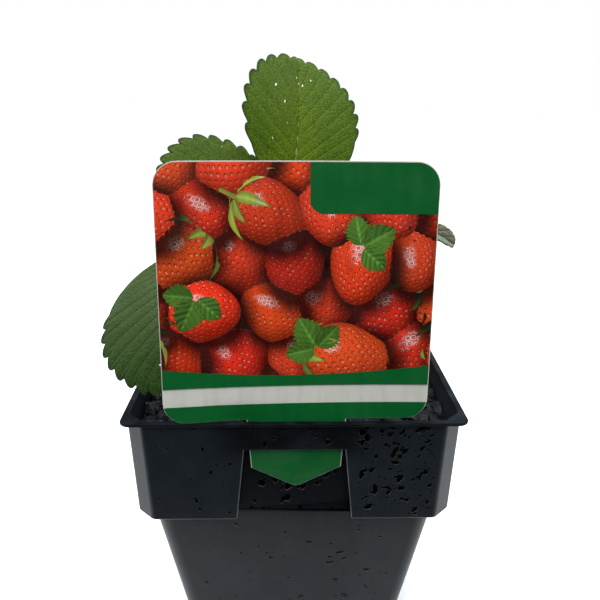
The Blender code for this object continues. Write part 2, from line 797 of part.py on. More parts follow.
def build_label(parts):
    """The printed card: its flat outline, cut into strips, bent and thickened."""
    bm = bmesh.new()
    bm.faces.new([bm.verts.new((s, t, 0.0)) for s, t in label_outline()])
    for column in range(-4, 5):
        slice_flat(bm, (column * LABEL_GRID, 0.0, 0.0), (1.0, 0.0, 0.0))
    for row in LABEL_ROWS:
        slice_flat(bm, (0.0, row, 0.0), (0.0, 1.0, 0.0))
    for vertex in bm.verts:
        vertex.co = label_place(vertex.co.x, vertex.co.y)
    bmesh.ops.triangulate(bm, faces=bm.faces)
    bmesh.ops.recalc_face_normals(bm, faces=bm.faces)
    material = principled("label_card", LABEL_RED, 0.3)
    label = add_object("label", mesh_from(bm, "label"), parts, material)
    solidify = label.modifiers.new("thickness", "SOLIDIFY")
    solidify.thickness = LABEL_THICKNESS
    solidify.offset = 0.0
    bake(label)
    smooth(label)
    return label


def main():
    clear_scene()
    parts = make_collection("potted_strawberry_plant")
    cutters = make_collection("cutters")
    build_pot(parts, cutters)
    crown = build_crown(parts)
    build_soil(crown, parts, cutters)
    for leaf in LEAVES:
        build_leaf(leaf, parts)
    build_label(parts)


main()
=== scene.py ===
"""Looks of a potted strawberry plant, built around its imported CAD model.

Metres in the row frame: +Z up, the label faces -Y, and the origin is the centre of the pot's
base. Sizes that a class holds are in millimetres unless their names say otherwise, and leaf and
label places are measured from the centre of the pot's rim.
"""
from __future__ import annotations

import logging
import math
from collections.abc import Iterator
from contextlib import contextmanager
from dataclasses import dataclass, field, replace
from enum import Enum, IntEnum

import bmesh
import bpy
import numpy as np
from mathutils import Matrix, Vector, noise

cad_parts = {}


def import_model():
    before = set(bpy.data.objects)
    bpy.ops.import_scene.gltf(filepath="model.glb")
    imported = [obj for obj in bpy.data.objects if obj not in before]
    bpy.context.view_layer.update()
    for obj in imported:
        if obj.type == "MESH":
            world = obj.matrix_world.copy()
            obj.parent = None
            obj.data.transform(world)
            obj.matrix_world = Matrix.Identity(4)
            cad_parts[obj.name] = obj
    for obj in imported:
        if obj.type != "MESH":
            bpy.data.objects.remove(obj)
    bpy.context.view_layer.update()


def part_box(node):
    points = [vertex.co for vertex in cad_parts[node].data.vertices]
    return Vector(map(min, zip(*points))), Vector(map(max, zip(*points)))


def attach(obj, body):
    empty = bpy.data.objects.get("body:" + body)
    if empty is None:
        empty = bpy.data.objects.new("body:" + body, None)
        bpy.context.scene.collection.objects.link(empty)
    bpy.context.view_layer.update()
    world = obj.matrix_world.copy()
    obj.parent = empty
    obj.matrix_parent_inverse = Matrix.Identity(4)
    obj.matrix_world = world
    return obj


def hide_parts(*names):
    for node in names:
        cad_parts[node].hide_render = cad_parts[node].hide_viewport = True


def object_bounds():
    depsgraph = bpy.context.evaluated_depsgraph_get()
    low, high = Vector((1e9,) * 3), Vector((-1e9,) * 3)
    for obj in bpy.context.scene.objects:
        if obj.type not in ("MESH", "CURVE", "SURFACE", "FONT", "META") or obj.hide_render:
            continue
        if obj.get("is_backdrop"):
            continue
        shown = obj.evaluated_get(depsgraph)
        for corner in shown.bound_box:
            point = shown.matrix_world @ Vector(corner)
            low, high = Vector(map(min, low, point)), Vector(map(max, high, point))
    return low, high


MM = 0.001
ROOT = "root"
LOG = logging.getLogger("strawberry")

Array = np.ndarray
Chance = np.random.Generator
Colour = tuple[float, float, float]
Place = tuple[float, float, float]
Span = tuple[float, float]
Material = bpy.types.Material
Piece = bpy.types.Object
Socket = bpy.types.NodeSocket
Value = Socket | float | Colour


# ---------------- arithmetic

def unit(vectors: Array) -> Array:
    """Scale every row to length 1."""
    return vectors / np.maximum(np.linalg.norm(vectors, axis=-1, keepdims=True), 1e-12)


def ease(low: float, high: float, value: Array | float) -> Array | float:
    """A smooth step from 0 at low to 1 at high."""
    share = np.clip((value - low) / (high - low), 0.0, 1.0)
    return share * share * (3 - 2 * share)


def rough_field(points: Array, scale: float, seed: float) -> Array:
    """Smooth noise at each point.

    Args:
        points: rows of two or three coordinates.
        scale: waves per unit of the points.
        seed: shifts the pattern.

    Returns:
        One value a point, from about -1 to 1.
    """
    filled = np.zeros((len(points), 3))
    filled[:, :points.shape[1]] = points
    return np.array([noise.noise(Vector(row)) for row in filled * scale + seed])


def tangent_frame(normals: Array) -> tuple[Array, Array]:
    """Two unit rows at right angles to each normal and to each other.

    Args:
        normals: unit rows.

    Returns:
        The two sets of rows.
    """
    helper = np.where(np.abs(normals[:, 2:3]) < 0.9, [[0.0, 0.0, 1.0]], [[1.0, 0.0, 0.0]])
    across = unit(np.cross(helper, normals))
    return across, np.cross(normals, across)


def grid_faces(rows: int, columns: int, closed: bool = False) -> Array:
    """Quads between the points of a grid that is stored row by row.

    Args:
        rows: number of rows of points.
        columns: points in a row.
        closed: True if each row is a ring.

    Returns:
        Rows of four indices.
    """
    last = columns if closed else columns - 1
    i, j = np.meshgrid(np.arange(rows - 1), np.arange(last), indexing="ij")
    a = i * columns + j
    b = i * columns + (j + 1) % columns
    return np.stack([a, b, b + columns, a + columns], axis=-1).reshape(-1, 4)


def spun(points: Array, angle: float) -> Array:
    """Turn rows of x, y and z about the upright."""
    c, s = math.cos(angle), math.sin(angle)
    return points @ np.array([[c, s, 0], [-s, c, 0], [0, 0, 1]])


def smooth_line(points: list[Array], steps: int) -> Array:
    """A smooth line through the points.

    Args:
        points: the places that the line passes.
        steps: points on each span.

    Returns:
        The line's points, one a row.
    """
    ends = [2 * points[0] - points[1], *points, 2 * points[-1] - points[-2]]
    line = []
    for a, b, c, d in zip(ends, ends[1:], ends[2:], ends[3:]):
        for t in np.arange(steps) / steps:
            line.append(0.5 * (2 * b + (c - a) * t + (2 * a - 5 * b + 4 * c - d) * t * t
                               + (3 * b - a - 3 * c + d) * t ** 3))
    return np.array([*line, points[-1]])


# ---------------- meshes

class Shape:
    """Points and faces of one or more bodies, gathered for one mesh."""

    def __init__(self) -> None:
        """Start empty."""
        self.points: list[Array] = []
        self.faces: list[list[int]] = []
        self.values: dict[str, list[Array]] = {}
        self.count = 0

    def add(self, points: Array, faces: Array | list, **values: Array) -> None:
        """Add a body.

        Args:
            points: its places in millimetres from the row's origin.
            faces: rows of indices into points.
            values: one number, or three, for each point, by attribute name.
        """
        self.points.append(np.asarray(points, float))
        self.faces += [[int(i) + self.count for i in face] for face in faces]
        for name, numbers in values.items():
            self.values.setdefault(name, []).append(np.asarray(numbers, float))
        self.count += len(points)

    def build(self, name: str, *materials: Material) -> Piece:
        """Make the object.

        Args:
            name: the object's name.
            materials: its materials.

        Returns:
            The new object, shaded smooth.
        """
        mesh = bpy.data.meshes.new(name)
        mesh.from_pydata(np.concatenate(self.points) * MM, [], self.faces)
        for material in materials:
            mesh.materials.append(material)
        for label, parts in self.values.items():
            numbers = np.concatenate(parts)
            kind = "FLOAT_VECTOR" if numbers.ndim == 2 else "FLOAT"
            layer = mesh.attributes.new(label, kind, "POINT")
            layer.data.foreach_set("vector" if numbers.ndim == 2 else "value", numbers.ravel())
        mesh.shade_smooth()
        return placed(name, mesh)


def placed(name: str, data: bpy.types.ID) -> Piece:
    """Put a mesh, a light or a camera into the scene.

    Args:
        name: the object's name.
        data: what it shows.

    Returns:
        The new object.
    """
    item = bpy.data.objects.new(name, data)
    bpy.context.scene.collection.objects.link(item)
    return item


@contextmanager
def in_work(mesh: bpy.types.Mesh) -> Iterator[bmesh.types.BMesh]:
    """Open a mesh for work on its points and faces, and put it back after.

    Args:
        mesh: the mesh.

    Yields:
        What is worked on.
    """
    bm = bmesh.new()
    bm.from_mesh(mesh)
    yield bm
    bm.to_mesh(mesh)
    bm.free()


def slice_off(bm: bmesh.types.BMesh, place: Place, way: Place, outer: bool = True) -> None:
    """Cut a mesh in work along a plane, and drop what lies beyond it.

    Args:
        bm: the mesh.
        place: a point of the plane.
        way: its direction.
        outer: False to keep both sides.
    """
    parts = bm.verts[:] + bm.edges[:] + bm.faces[:]
    bmesh.ops.bisect_plane(bm, geom=parts, dist=1e-5 * MM, plane_co=Vector(place) * MM, plane_no=way,
                           clear_outer=outer)


def bake(item: Piece) -> Piece:
    """Replace an object's mesh by what its modifiers give.

    Args:
        item: the object.

    Returns:
        The same object.
    """
    bpy.context.view_layer.update()
    evaluated = item.evaluated_get(bpy.context.evaluated_depsgraph_get())
    mesh = bpy.data.meshes.new_from_object(evaluated)
    item.modifiers.clear()
    item.data = mesh
    return item


class Keep(Enum):
    """What a cut leaves of a piece."""

    OUTSIDE = "DIFFERENCE"
    INSIDE = "INTERSECT"


def cut(item: Piece, tool: Piece, keep: Keep = Keep.OUTSIDE) -> None:
    """Cut a piece with a body, and drop the body.

    Args:
        item: the piece that is cut.
        tool: the body that cuts it.
        keep: which part of the piece stays.
    """
    modifier = item.modifiers.new("cut", "BOOLEAN")
    modifier.operation = keep.value
    modifier.object = tool
    bake(item)
    bpy.data.objects.remove(tool, do_unlink=True)


def dress(item: Piece, slot: str, *nodes: str) -> Piece:
    """Fix a piece to the part.

    Args:
        item: the piece.
        slot: not used.
        nodes: the CAD nodes that it stands for.

    Returns:
        The same piece.
    """
    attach(item, ROOT)
    if nodes:
        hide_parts(*nodes)
    LOG.info("%s: %d faces", item.name, len(item.data.polygons))
    return item


def tube_faces(rows: int, columns: int) -> list[list[int]]:
    """The faces of a tube of rings with both its ends closed."""
    ends = [list(range(columns))[::-1], list(range((rows - 1) * columns, rows * columns))]
    return grid_faces(rows, columns, True).tolist() + ends


# ---------------- finishes

class Nodes:
    """Short calls for the nodes of one tree."""

    def __init__(self, tree: bpy.types.NodeTree) -> None:
        """Keep the tree."""
        self.tree = tree

    def feed(self, entry: Socket, value: Value) -> None:
        """Set an input.

        Args:
            entry: the input.
            value: a socket that it is linked to, or a number or a colour.
        """
        if isinstance(value, Socket):
            self.tree.links.new(value, entry)
        elif isinstance(value, tuple) and len(entry.default_value) == 4:
            entry.default_value = (*value, 1.0)
        else:
            entry.default_value = value

    def maths(self, operation: str, a: Value, b: Value = 0.0) -> Socket:
        """Add a Math node.

        Args:
            operation: what it does.
            a: its first value.
            b: its second value.

        Returns:
            The result.
        """
        node = self.tree.nodes.new("ShaderNodeMath")
        node.operation = operation
        self.feed(node.inputs[0], a)
        self.feed(node.inputs[1], b)
        return node.outputs[0]

    def times(self, a: Value, b: Value) -> Socket:
        """The product of two values."""
        return self.maths("MULTIPLY", a, b)

    def most(self, a: Value, b: Value) -> Socket:
        """The larger of two values."""
        return self.maths("MAXIMUM", a, b)

    def step(self, value: Value, low: float, high: float, start: float = 0.0,
             end: float = 1.0) -> Socket:
        """Add a smooth step.

        Args:
            value: what it follows.
            low: where it starts.
            high: where it ends.
            start: the result at low.
            end: the result at high.

        Returns:
            The result.
        """
        node = self.tree.nodes.new("ShaderNodeMapRange")
        node.interpolation_type = "SMOOTHSTEP"
        for entry, number in zip(node.inputs, (value, low, high, start, end)):
            self.feed(entry, number)
        return node.outputs[0]

    def mix(self, share: Value, a: Value, b: Value) -> Socket:
        """Mix two colours.

        Args:
            share: 0 for the first and 1 for the second.
            a: the first.
            b: the second.

        Returns:
            The mixed colour.
        """
        node = self.tree.nodes.new("ShaderNodeMix")
        node.data_type = "RGBA"
        self.feed(node.inputs["Factor"], share)
        self.feed(node.inputs[6], a)
        self.feed(node.inputs[7], b)
        return node.outputs[2]

    def parts(self, vector: Socket) -> dict[str, Socket]:
        """Split a vector.

        Args:
            vector: the vector.

        Returns:
            Its parts as x, y and z.
        """
        node = self.tree.nodes.new("ShaderNodeSeparateXYZ")
        self.feed(node.inputs[0], vector)
        return dict(zip("xyz", node.outputs))

    def attribute(self, name: str) -> dict[str, Socket]:
        """Read an attribute of the mesh.

        Args:
            name: its name.

        Returns:
            Its vector and number, and the vector's parts as x, y and z.
        """
        node = self.tree.nodes.new("ShaderNodeAttribute")
        node.attribute_name = name
        return {"vector": node.outputs["Vector"], "number": node.outputs["Fac"],
                **self.parts(node.outputs["Vector"])}

    def within(self, value: Socket, reach: float, soft: float) -> Socket:
        """1 where a value is within reach of zero, falling to 0 over soft beyond, in millimetres."""
        return self.step(self.maths("ABSOLUTE", value), reach * MM, (reach + soft) * MM, 1.0, 0.0)


class Graph(Nodes):
    """One material, with its textures and its shader."""

    def __init__(self, name: str, **constants: float | Colour) -> None:
        """Start a material.

        Args:
            name: the material's name.
            constants: values of the shader's inputs that are the same all over.
        """
        self.material = bpy.data.materials.new(name)
        self.material.use_nodes = True
        super().__init__(self.material.node_tree)
        self.shader = self.tree.nodes["Principled BSDF"]
        self.place = self.tree.nodes.new("ShaderNodeTexCoord").outputs["Object"]
        self.paint(**constants)

    def noise(self, per_mm: float, detail: float = 3.0, place: Socket | None = None) -> Socket:
        """Add smooth noise.

        Args:
            per_mm: waves a millimetre, or a unit of the given vector.
            detail: how many finer layers it has.
            place: a vector to use in place of the position.

        Returns:
            Values from 0 to 1.
        """
        node = self.tree.nodes.new("ShaderNodeTexNoise")
        self.feed(node.inputs["Vector"], self.place if place is None else place)
        node.inputs["Scale"].default_value = per_mm / MM if place is None else per_mm
        node.inputs["Detail"].default_value = detail
        return node.outputs["Fac"]

    def net(self, meshes: float, place: Socket) -> Socket:
        """Add an uneven net.

        Args:
            meshes: how many meshes it has in a unit of the vector.
            place: the vector.

        Returns:
            The distance from its threads.
        """
        node = self.tree.nodes.new("ShaderNodeTexVoronoi")
        node.feature = "DISTANCE_TO_EDGE"
        self.feed(node.inputs["Vector"], place)
        node.inputs["Scale"].default_value = meshes
        return node.outputs["Distance"]

    def stretched(self, vector: Socket, scale: Place) -> Socket:
        """Scale each part of a vector.

        Args:
            vector: the vector.
            scale: the three factors.

        Returns:
            The scaled vector.
        """
        node = self.tree.nodes.new("ShaderNodeMapping")
        self.feed(node.inputs["Vector"], vector)
        node.inputs["Scale"].default_value = scale
        return node.outputs[0]

    def relief(self, *heights: tuple[Socket, float]) -> None:
        """Raise the surface.

        Args:
            heights: pairs of a height from 0 to 1 and its rise in millimetres.
        """
        normal = None
        for height, rise in heights:
            node = self.tree.nodes.new("ShaderNodeBump")
            node.inputs["Distance"].default_value = rise * MM
            self.feed(node.inputs["Height"], height)
            if normal is not None:
                self.feed(node.inputs["Normal"], normal)
            normal = node.outputs[0]
        self.feed(self.shader.inputs["Normal"], normal)

    def paint(self, **inputs: Value) -> Material:
        """Feed the shader.

        Args:
            inputs: what goes to each of its inputs.

        Returns:
            The material.
        """
        for label, value in inputs.items():
            self.feed(self.shader.inputs[label.replace("_", " ")], value)
        return self.material


@dataclass(frozen=True)
class PotPlastic:
    """Black moulded plastic: satin, a little dusty, darker under water above the slots and with
    painted shade on the lip, in the recesses and inside; its edges have a painted highlight.
    """

    dry: Colour = (0.0085, 0.0122, 0.0162)
    dark_shade_and_wet: Colour = (0.0024, 0.0031, 0.0042)
    dust: Colour = (0.0165, 0.0222, 0.0282)
    # the pale colour of the bevelled edges is a painted highlight
    edge_highlight: Colour = (0.0740, 0.0810, 0.0880)
    roughness: float = 0.34
    # the lip and the recess are painted darker as shade; the film above the slot is water
    lip_shade: float = 0.55
    recess_shade: float = 0.8
    film_wet: float = 0.95

    def shade_and_wet_share(self, g: Graph, pot: NurseryPot) -> Socket:
        """Where the walls are darker: painted shade on the lip and in the recess of each slot, and a
        film of water above the slot.

        Args:
            g: the material's nodes.
            pot: gives the places.

        Returns:
            From 0 on the plain wall to 1.
        """
        at = g.parts(g.place)
        top, shoulder = pot.height * MM, (pot.height - pot.collar_depth) * MM
        lip, band = pot.lip * MM, pot.band_depth * MM
        # painted shade on the lip's lit face
        on_lip = g.step(at["z"], top - 1.2 * lip, top - 0.9 * lip, 0.0, self.lip_shade)
        # painted shade in each slot's recess, under the band
        recess = g.times(g.within(at["y"], pot.slot_face(pot.band_depth) + 1.2, 0.8),
                         g.within(at["x"], pot.window_half + 1, 3.0))
        recess = g.times(recess, g.step(at["z"], shoulder - 3 * MM, shoulder + 5 * MM, 0.0,
                                        self.recess_shade))
        film = g.times(g.within(at["x"], 0.9 * pot.slot_half, 16.0),
                       g.step(at["z"], top - 1.6 * band, top - 0.7 * band))
        film = g.times(film, g.step(g.noise(0.13, 3.0), 0.25, 0.55, 0.4, self.film_wet))
        return g.most(on_lip, g.most(recess, film))

    def material(self, pot: NurseryPot) -> Material:
        """Make the material of the pot's walls.

        Args:
            pot: gives the places of the painted shade and of the film of water.

        Returns:
            The material.
        """
        g = Graph("pot_plastic", Specular_IOR_Level=0.14)
        shade_and_wet_share = self.shade_and_wet_share(g, pot)
        mottle = g.step(g.noise(0.16, 4.0), 0.35, 0.75, 0.0, 0.45)
        # darker where shade is painted and where the film of water lies
        colour = g.mix(shade_and_wet_share, g.mix(mottle, self.dry, self.dust), self.dark_shade_and_wet)
        rough = g.maths("ADD", g.step(shade_and_wet_share, 0.0, 1.0, self.roughness, self.roughness - 0.04),
                        g.times(g.noise(1.6, 2.0), 0.08))
        g.relief((g.noise(0.03, 1.0), 0.4), (g.noise(3.5, 2.0), 0.012))
        return g.paint(Base_Color=colour, Roughness=rough)

    def inside(self) -> Material:
        """Make the material of the rim and the walls above the soil, painted darker as shade and with
        little shine.

        Returns:
            The material.
        """
        # painted shade: little shine, and the darkest colour in patches
        g = Graph("pot_inside", Specular_IOR_Level=0.015)
        painted_shade_patches = g.step(g.noise(0.16, 4.0), 0.35, 0.7)
        rough = g.step(g.noise(1.6, 2.0), 0.3, 0.7, 0.34, 0.44)
        return g.paint(Base_Color=g.mix(painted_shade_patches, self.dark_shade_and_wet, self.dry), Roughness=rough)

    def edge(self) -> Material:
        """Make the material of the edges: a painted highlight, toned down in patches to the dust
        colour.

        Returns:
            The material.
        """
        g = Graph("pot_edge", Specular_IOR_Level=0.3)
        # painted highlight along the edges, mixed in patches with the dust colour
        pale = g.step(g.noise(0.25, 4.0), 0.35, 0.6, 0.25, 1.0)
        return g.paint(Base_Color=g.mix(pale, self.dust, self.edge_highlight), Roughness=0.3)


@dataclass(frozen=True)
class WetMix:
    """Wet peat and bark, nearly black with a blue shine; brighter where bark shows."""

    deep: Colour = (0.0009, 0.0016, 0.0030)
    fibre: Colour = (0.0065, 0.0068, 0.0085)
    roughness: float = 0.42

    def material(self, name: str) -> Material:
        """Make the material.

        Args:
            name: the material's name.

        Returns:
            The material.
        """
        g = Graph(name, Specular_IOR_Level=0.12)
        grain = g.step(g.noise(0.7, 5.0), 0.42, 0.72)
        strand = g.noise(0.5, 4.0, g.stretched(g.place, (1 / MM, 4 / MM, 4 / MM)))
        colour = g.mix(g.times(grain, g.step(strand, 0.4, 0.7)), self.deep, self.fibre)
        rough = g.step(g.noise(0.35, 3.0), 0.35, 0.7, self.roughness - 0.16, self.roughness + 0.2)
        g.relief((g.noise(0.9, 5.0), 0.5), (strand, 0.15))
        return g.paint(Base_Color=colour, Roughness=rough)


@dataclass(frozen=True)
class Water:
    """Water: drops on the leaves half white as a painted highlight, nearly black in beads on the
    black plastic.
    """

    bead: Colour = (0.0022, 0.0026, 0.0030)

    def drops(self) -> Material:
        """Make the material of the drops on the leaves."""
        # the white base colour is a painted highlight that makes the drops show as glints
        return Graph("water_drop", Base_Color=(1.0, 1.0, 1.0), Roughness=0.04, IOR=1.333,
                     Transmission_Weight=0.45).material

    def beads(self) -> Material:
        """Make the material of the beads on the pot."""
        g = Graph("water_bead", Roughness=0.12, IOR=1.333, Specular_IOR_Level=0.3)
        return g.paint(Base_Color=g.mix(g.noise(0.6, 2.0), self.bead, (0.0, 0.0, 0.0)))


class Side(Enum):
    """Which face of a leaf a skin is for."""

    UPPER = "upper"
    UNDER = "under"


@dataclass(frozen=True)
class Net:
    """A net of pale lines, partly the leaf's small veins and partly painted glints of their relief:
    its meshes a millimetre, its threads' half width and their weight.
    """

    meshes: float
    thread: float
    weight: float


@dataclass(frozen=True)
class LeafSkin:
    """A leaf's surface, with its veins, fine net, pale midrib and dark margin, and painted light
    towards its tip.
    """

    deep: Colour = (0.0175, 0.0485, 0.0008)
    fresh: Colour = (0.061, 0.098, 0.0008)
    vein: Colour = (0.145, 0.205, 0.010)
    margin: Colour = (0.016, 0.040, 0.008)
    under: Colour = (0.150, 0.210, 0.085)
    # painted light towards the blade's tip: a bluish sheen on most leaves, and a darker tip as
    # painted shade on the left leaf
    tip: Colour = (0.055, 0.100, 0.022)
    tip_share: float = 0.4
    ribs: float = 0.40
    vein_edge: Span = (0.05, 0.26)
    midrib_edge: Span = (0.10, 0.42)
    nets: tuple[Net, Net] = (Net(0.55, 0.12, 0.38), Net(1.6, 0.22, 0.26))
    bloom: float = 0.01
    gloss: float = 0.05

    def material(self, name: str, side: Side) -> Material:
        """Make the material.

        Args:
            name: the material's name.
            side: the face of the leaf that it covers.

        Returns:
            The material.
        """
        g = Graph(f"{name}_{side.value}", Sheen_Weight=self.bloom, Sheen_Roughness=0.45,
                  Sheen_Tint=(0.75, 0.85, 0.90), Specular_IOR_Level=self.gloss)
        veins = g.attribute("veins")
        flat = g.attribute("flat")
        at = flat["vector"]
        off = g.maths("ABSOLUTE", g.maths("SUBTRACT", veins["x"], g.maths("ROUND", veins["x"])))
        off = g.times(off, veins["z"])
        lateral = g.step(off, *self.vein_edge, 1.0, 0.0)
        midrib = g.step(g.maths("ABSOLUTE", flat["x"]), *self.midrib_edge, 1.0, 0.0)
        nets = [g.step(g.net(net.meshes, at), 0.0, net.thread, 1.0, 0.0) for net in self.nets]
        patch = g.step(g.noise(0.16, 4.0, at), 0.3, 0.7)
        if side is Side.UPPER:
            inner = g.step(veins["y"], 0.0, 0.75, 0.45, 0.0)
            share = g.maths("ADD", inner, g.times(patch, 0.45))
            colour = g.mix(share, self.deep, self.fresh)
            # painted light: the colour turns to the tip colour towards the blade's tip
            colour = g.mix(g.step(flat["y"], 12.0, 40.0, 0.0, self.tip_share), colour, self.tip)
        else:
            colour = g.mix(patch, self.under, g.mix(0.25, self.under, self.fresh))
        # the nets' pale lines are partly real small veins and partly painted glints
        fine = g.most(*(g.times(lines, net.weight) for lines, net in zip(nets, self.nets)))
        lines = g.most(g.times(lateral, self.ribs), fine)
        lines = g.most(lines, g.times(midrib, 0.8))
        colour = g.mix(lines, colour, self.vein)
        colour = g.mix(g.step(veins["y"], 0.93, 0.99, 0.0, 0.85), colour, self.margin)
        grain = g.noise(1.7, 3.0, at)
        colour = g.mix(g.step(grain, 0.42, 0.66, 0.0, 0.65), colour, self.deep)
        # painted shade: each blade is darkened by its own share
        colour = g.mix(g.attribute("age")["number"], colour, (0.0, 0.006, 0.0))
        rough = g.step(g.noise(0.5, 3.0, at), 0.3, 0.7, 0.42, 0.58)
        depth = -1.0 if side is Side.UPPER else 1.0
        grooves = g.most(g.times(lateral, 0.8), midrib)
        g.relief((g.times(grooves, depth), 0.18),
                 (g.times(nets[0], depth), 0.07),
                 (grain, 0.22))
        return g.paint(Base_Color=colour, Roughness=rough)


@dataclass(frozen=True)
class StalkSkin:
    """A leaf stalk: green, flushed red at its foot."""

    green: Colour = (0.120, 0.190, 0.035)
    flush: Colour = (0.160, 0.060, 0.030)

    def material(self) -> Material:
        """Make the material of stalks.

        Returns:
            The material.
        """
        g = Graph("stalk_skin", Specular_IOR_Level=0.4, Roughness=0.45)
        low = g.attribute("rise")["number"]
        share = g.maths("ADD", g.step(low, 0.0, 0.45, 0.8, 0.0),
                        g.times(g.noise(0.6, 3.0), 0.2))
        g.relief((g.noise(1.4, 3.0), 0.08))
        return g.paint(Base_Color=g.mix(share, self.green, self.flush))


@dataclass(frozen=True)
class CrownBark:
    """The crown's old leaf bases: brown, papery and streaked along their length."""

    dark: Colour = (0.045, 0.022, 0.012)
    pale: Colour = (0.230, 0.120, 0.060)

    def material(self) -> Material:
        """Make the material of the crown.

        Returns:
            The material.
        """
        g = Graph("crown_bark", Specular_IOR_Level=0.35, Roughness=0.7)
        streak = g.noise(0.35, 4.0, g.stretched(g.place, (3 / MM, 3 / MM, 0.6 / MM)))
        g.relief((streak, 0.3))
        return g.paint(Base_Color=g.mix(g.step(streak, 0.35, 0.65), self.dark, self.pale))


@dataclass(frozen=True)
class Hair:
    """Fine pale hair."""

    colour: Colour = (0.62, 0.64, 0.56)

    def material(self) -> Material:
        """Make the material of hairs."""
        return Graph("hair", Base_Color=self.colour, Roughness=0.4, Specular_IOR_Level=0.6).material


@dataclass(frozen=True)
class Ink:
    """Print on the glossy card: painted by the mesh, or one colour with faint unevenness."""

    colour: Colour | None = None
    roughness: float = 0.36

    def material(self, name: str) -> Material:
        """Make the material.

        Args:
            name: the material's name.

        Returns:
            The material.
        """
        g = Graph(name, Specular_IOR_Level=0.32)
        tone = g.attribute("paint")["vector"] if self.colour is None else self.colour
        streak = g.noise(1.0, 4.0, g.stretched(g.place, (0.45 / MM, 0.45 / MM, 0.10 / MM)))
        uneven = g.step(streak, 0.40, 0.72, 0.0, 0.22)
        darker = g.mix(1.0, tone, (0.0, 0.0, 0.0))
        if self.colour is not None:
            darker = tuple(0.55 * c for c in self.colour)
        g.relief((g.noise(0.09, 1.0), 0.05), (g.noise(2.5, 2.0), 0.006))
        rough = g.step(g.noise(0.2, 4.0), 0.35, 0.75, self.roughness - 0.06, self.roughness + 0.12)
        return g.paint(Base_Color=g.mix(uneven, tone, darker), Roughness=rough)


# ---------------- pot

class Corner(Enum):
    """How a square ring turns its corners."""

    ROUND = "round"
    FACET = "facet"


class PotFace(IntEnum):
    """Which of the pot's materials a face has."""

    WALL = 0
    EDGE = 1
    INSIDE = 2


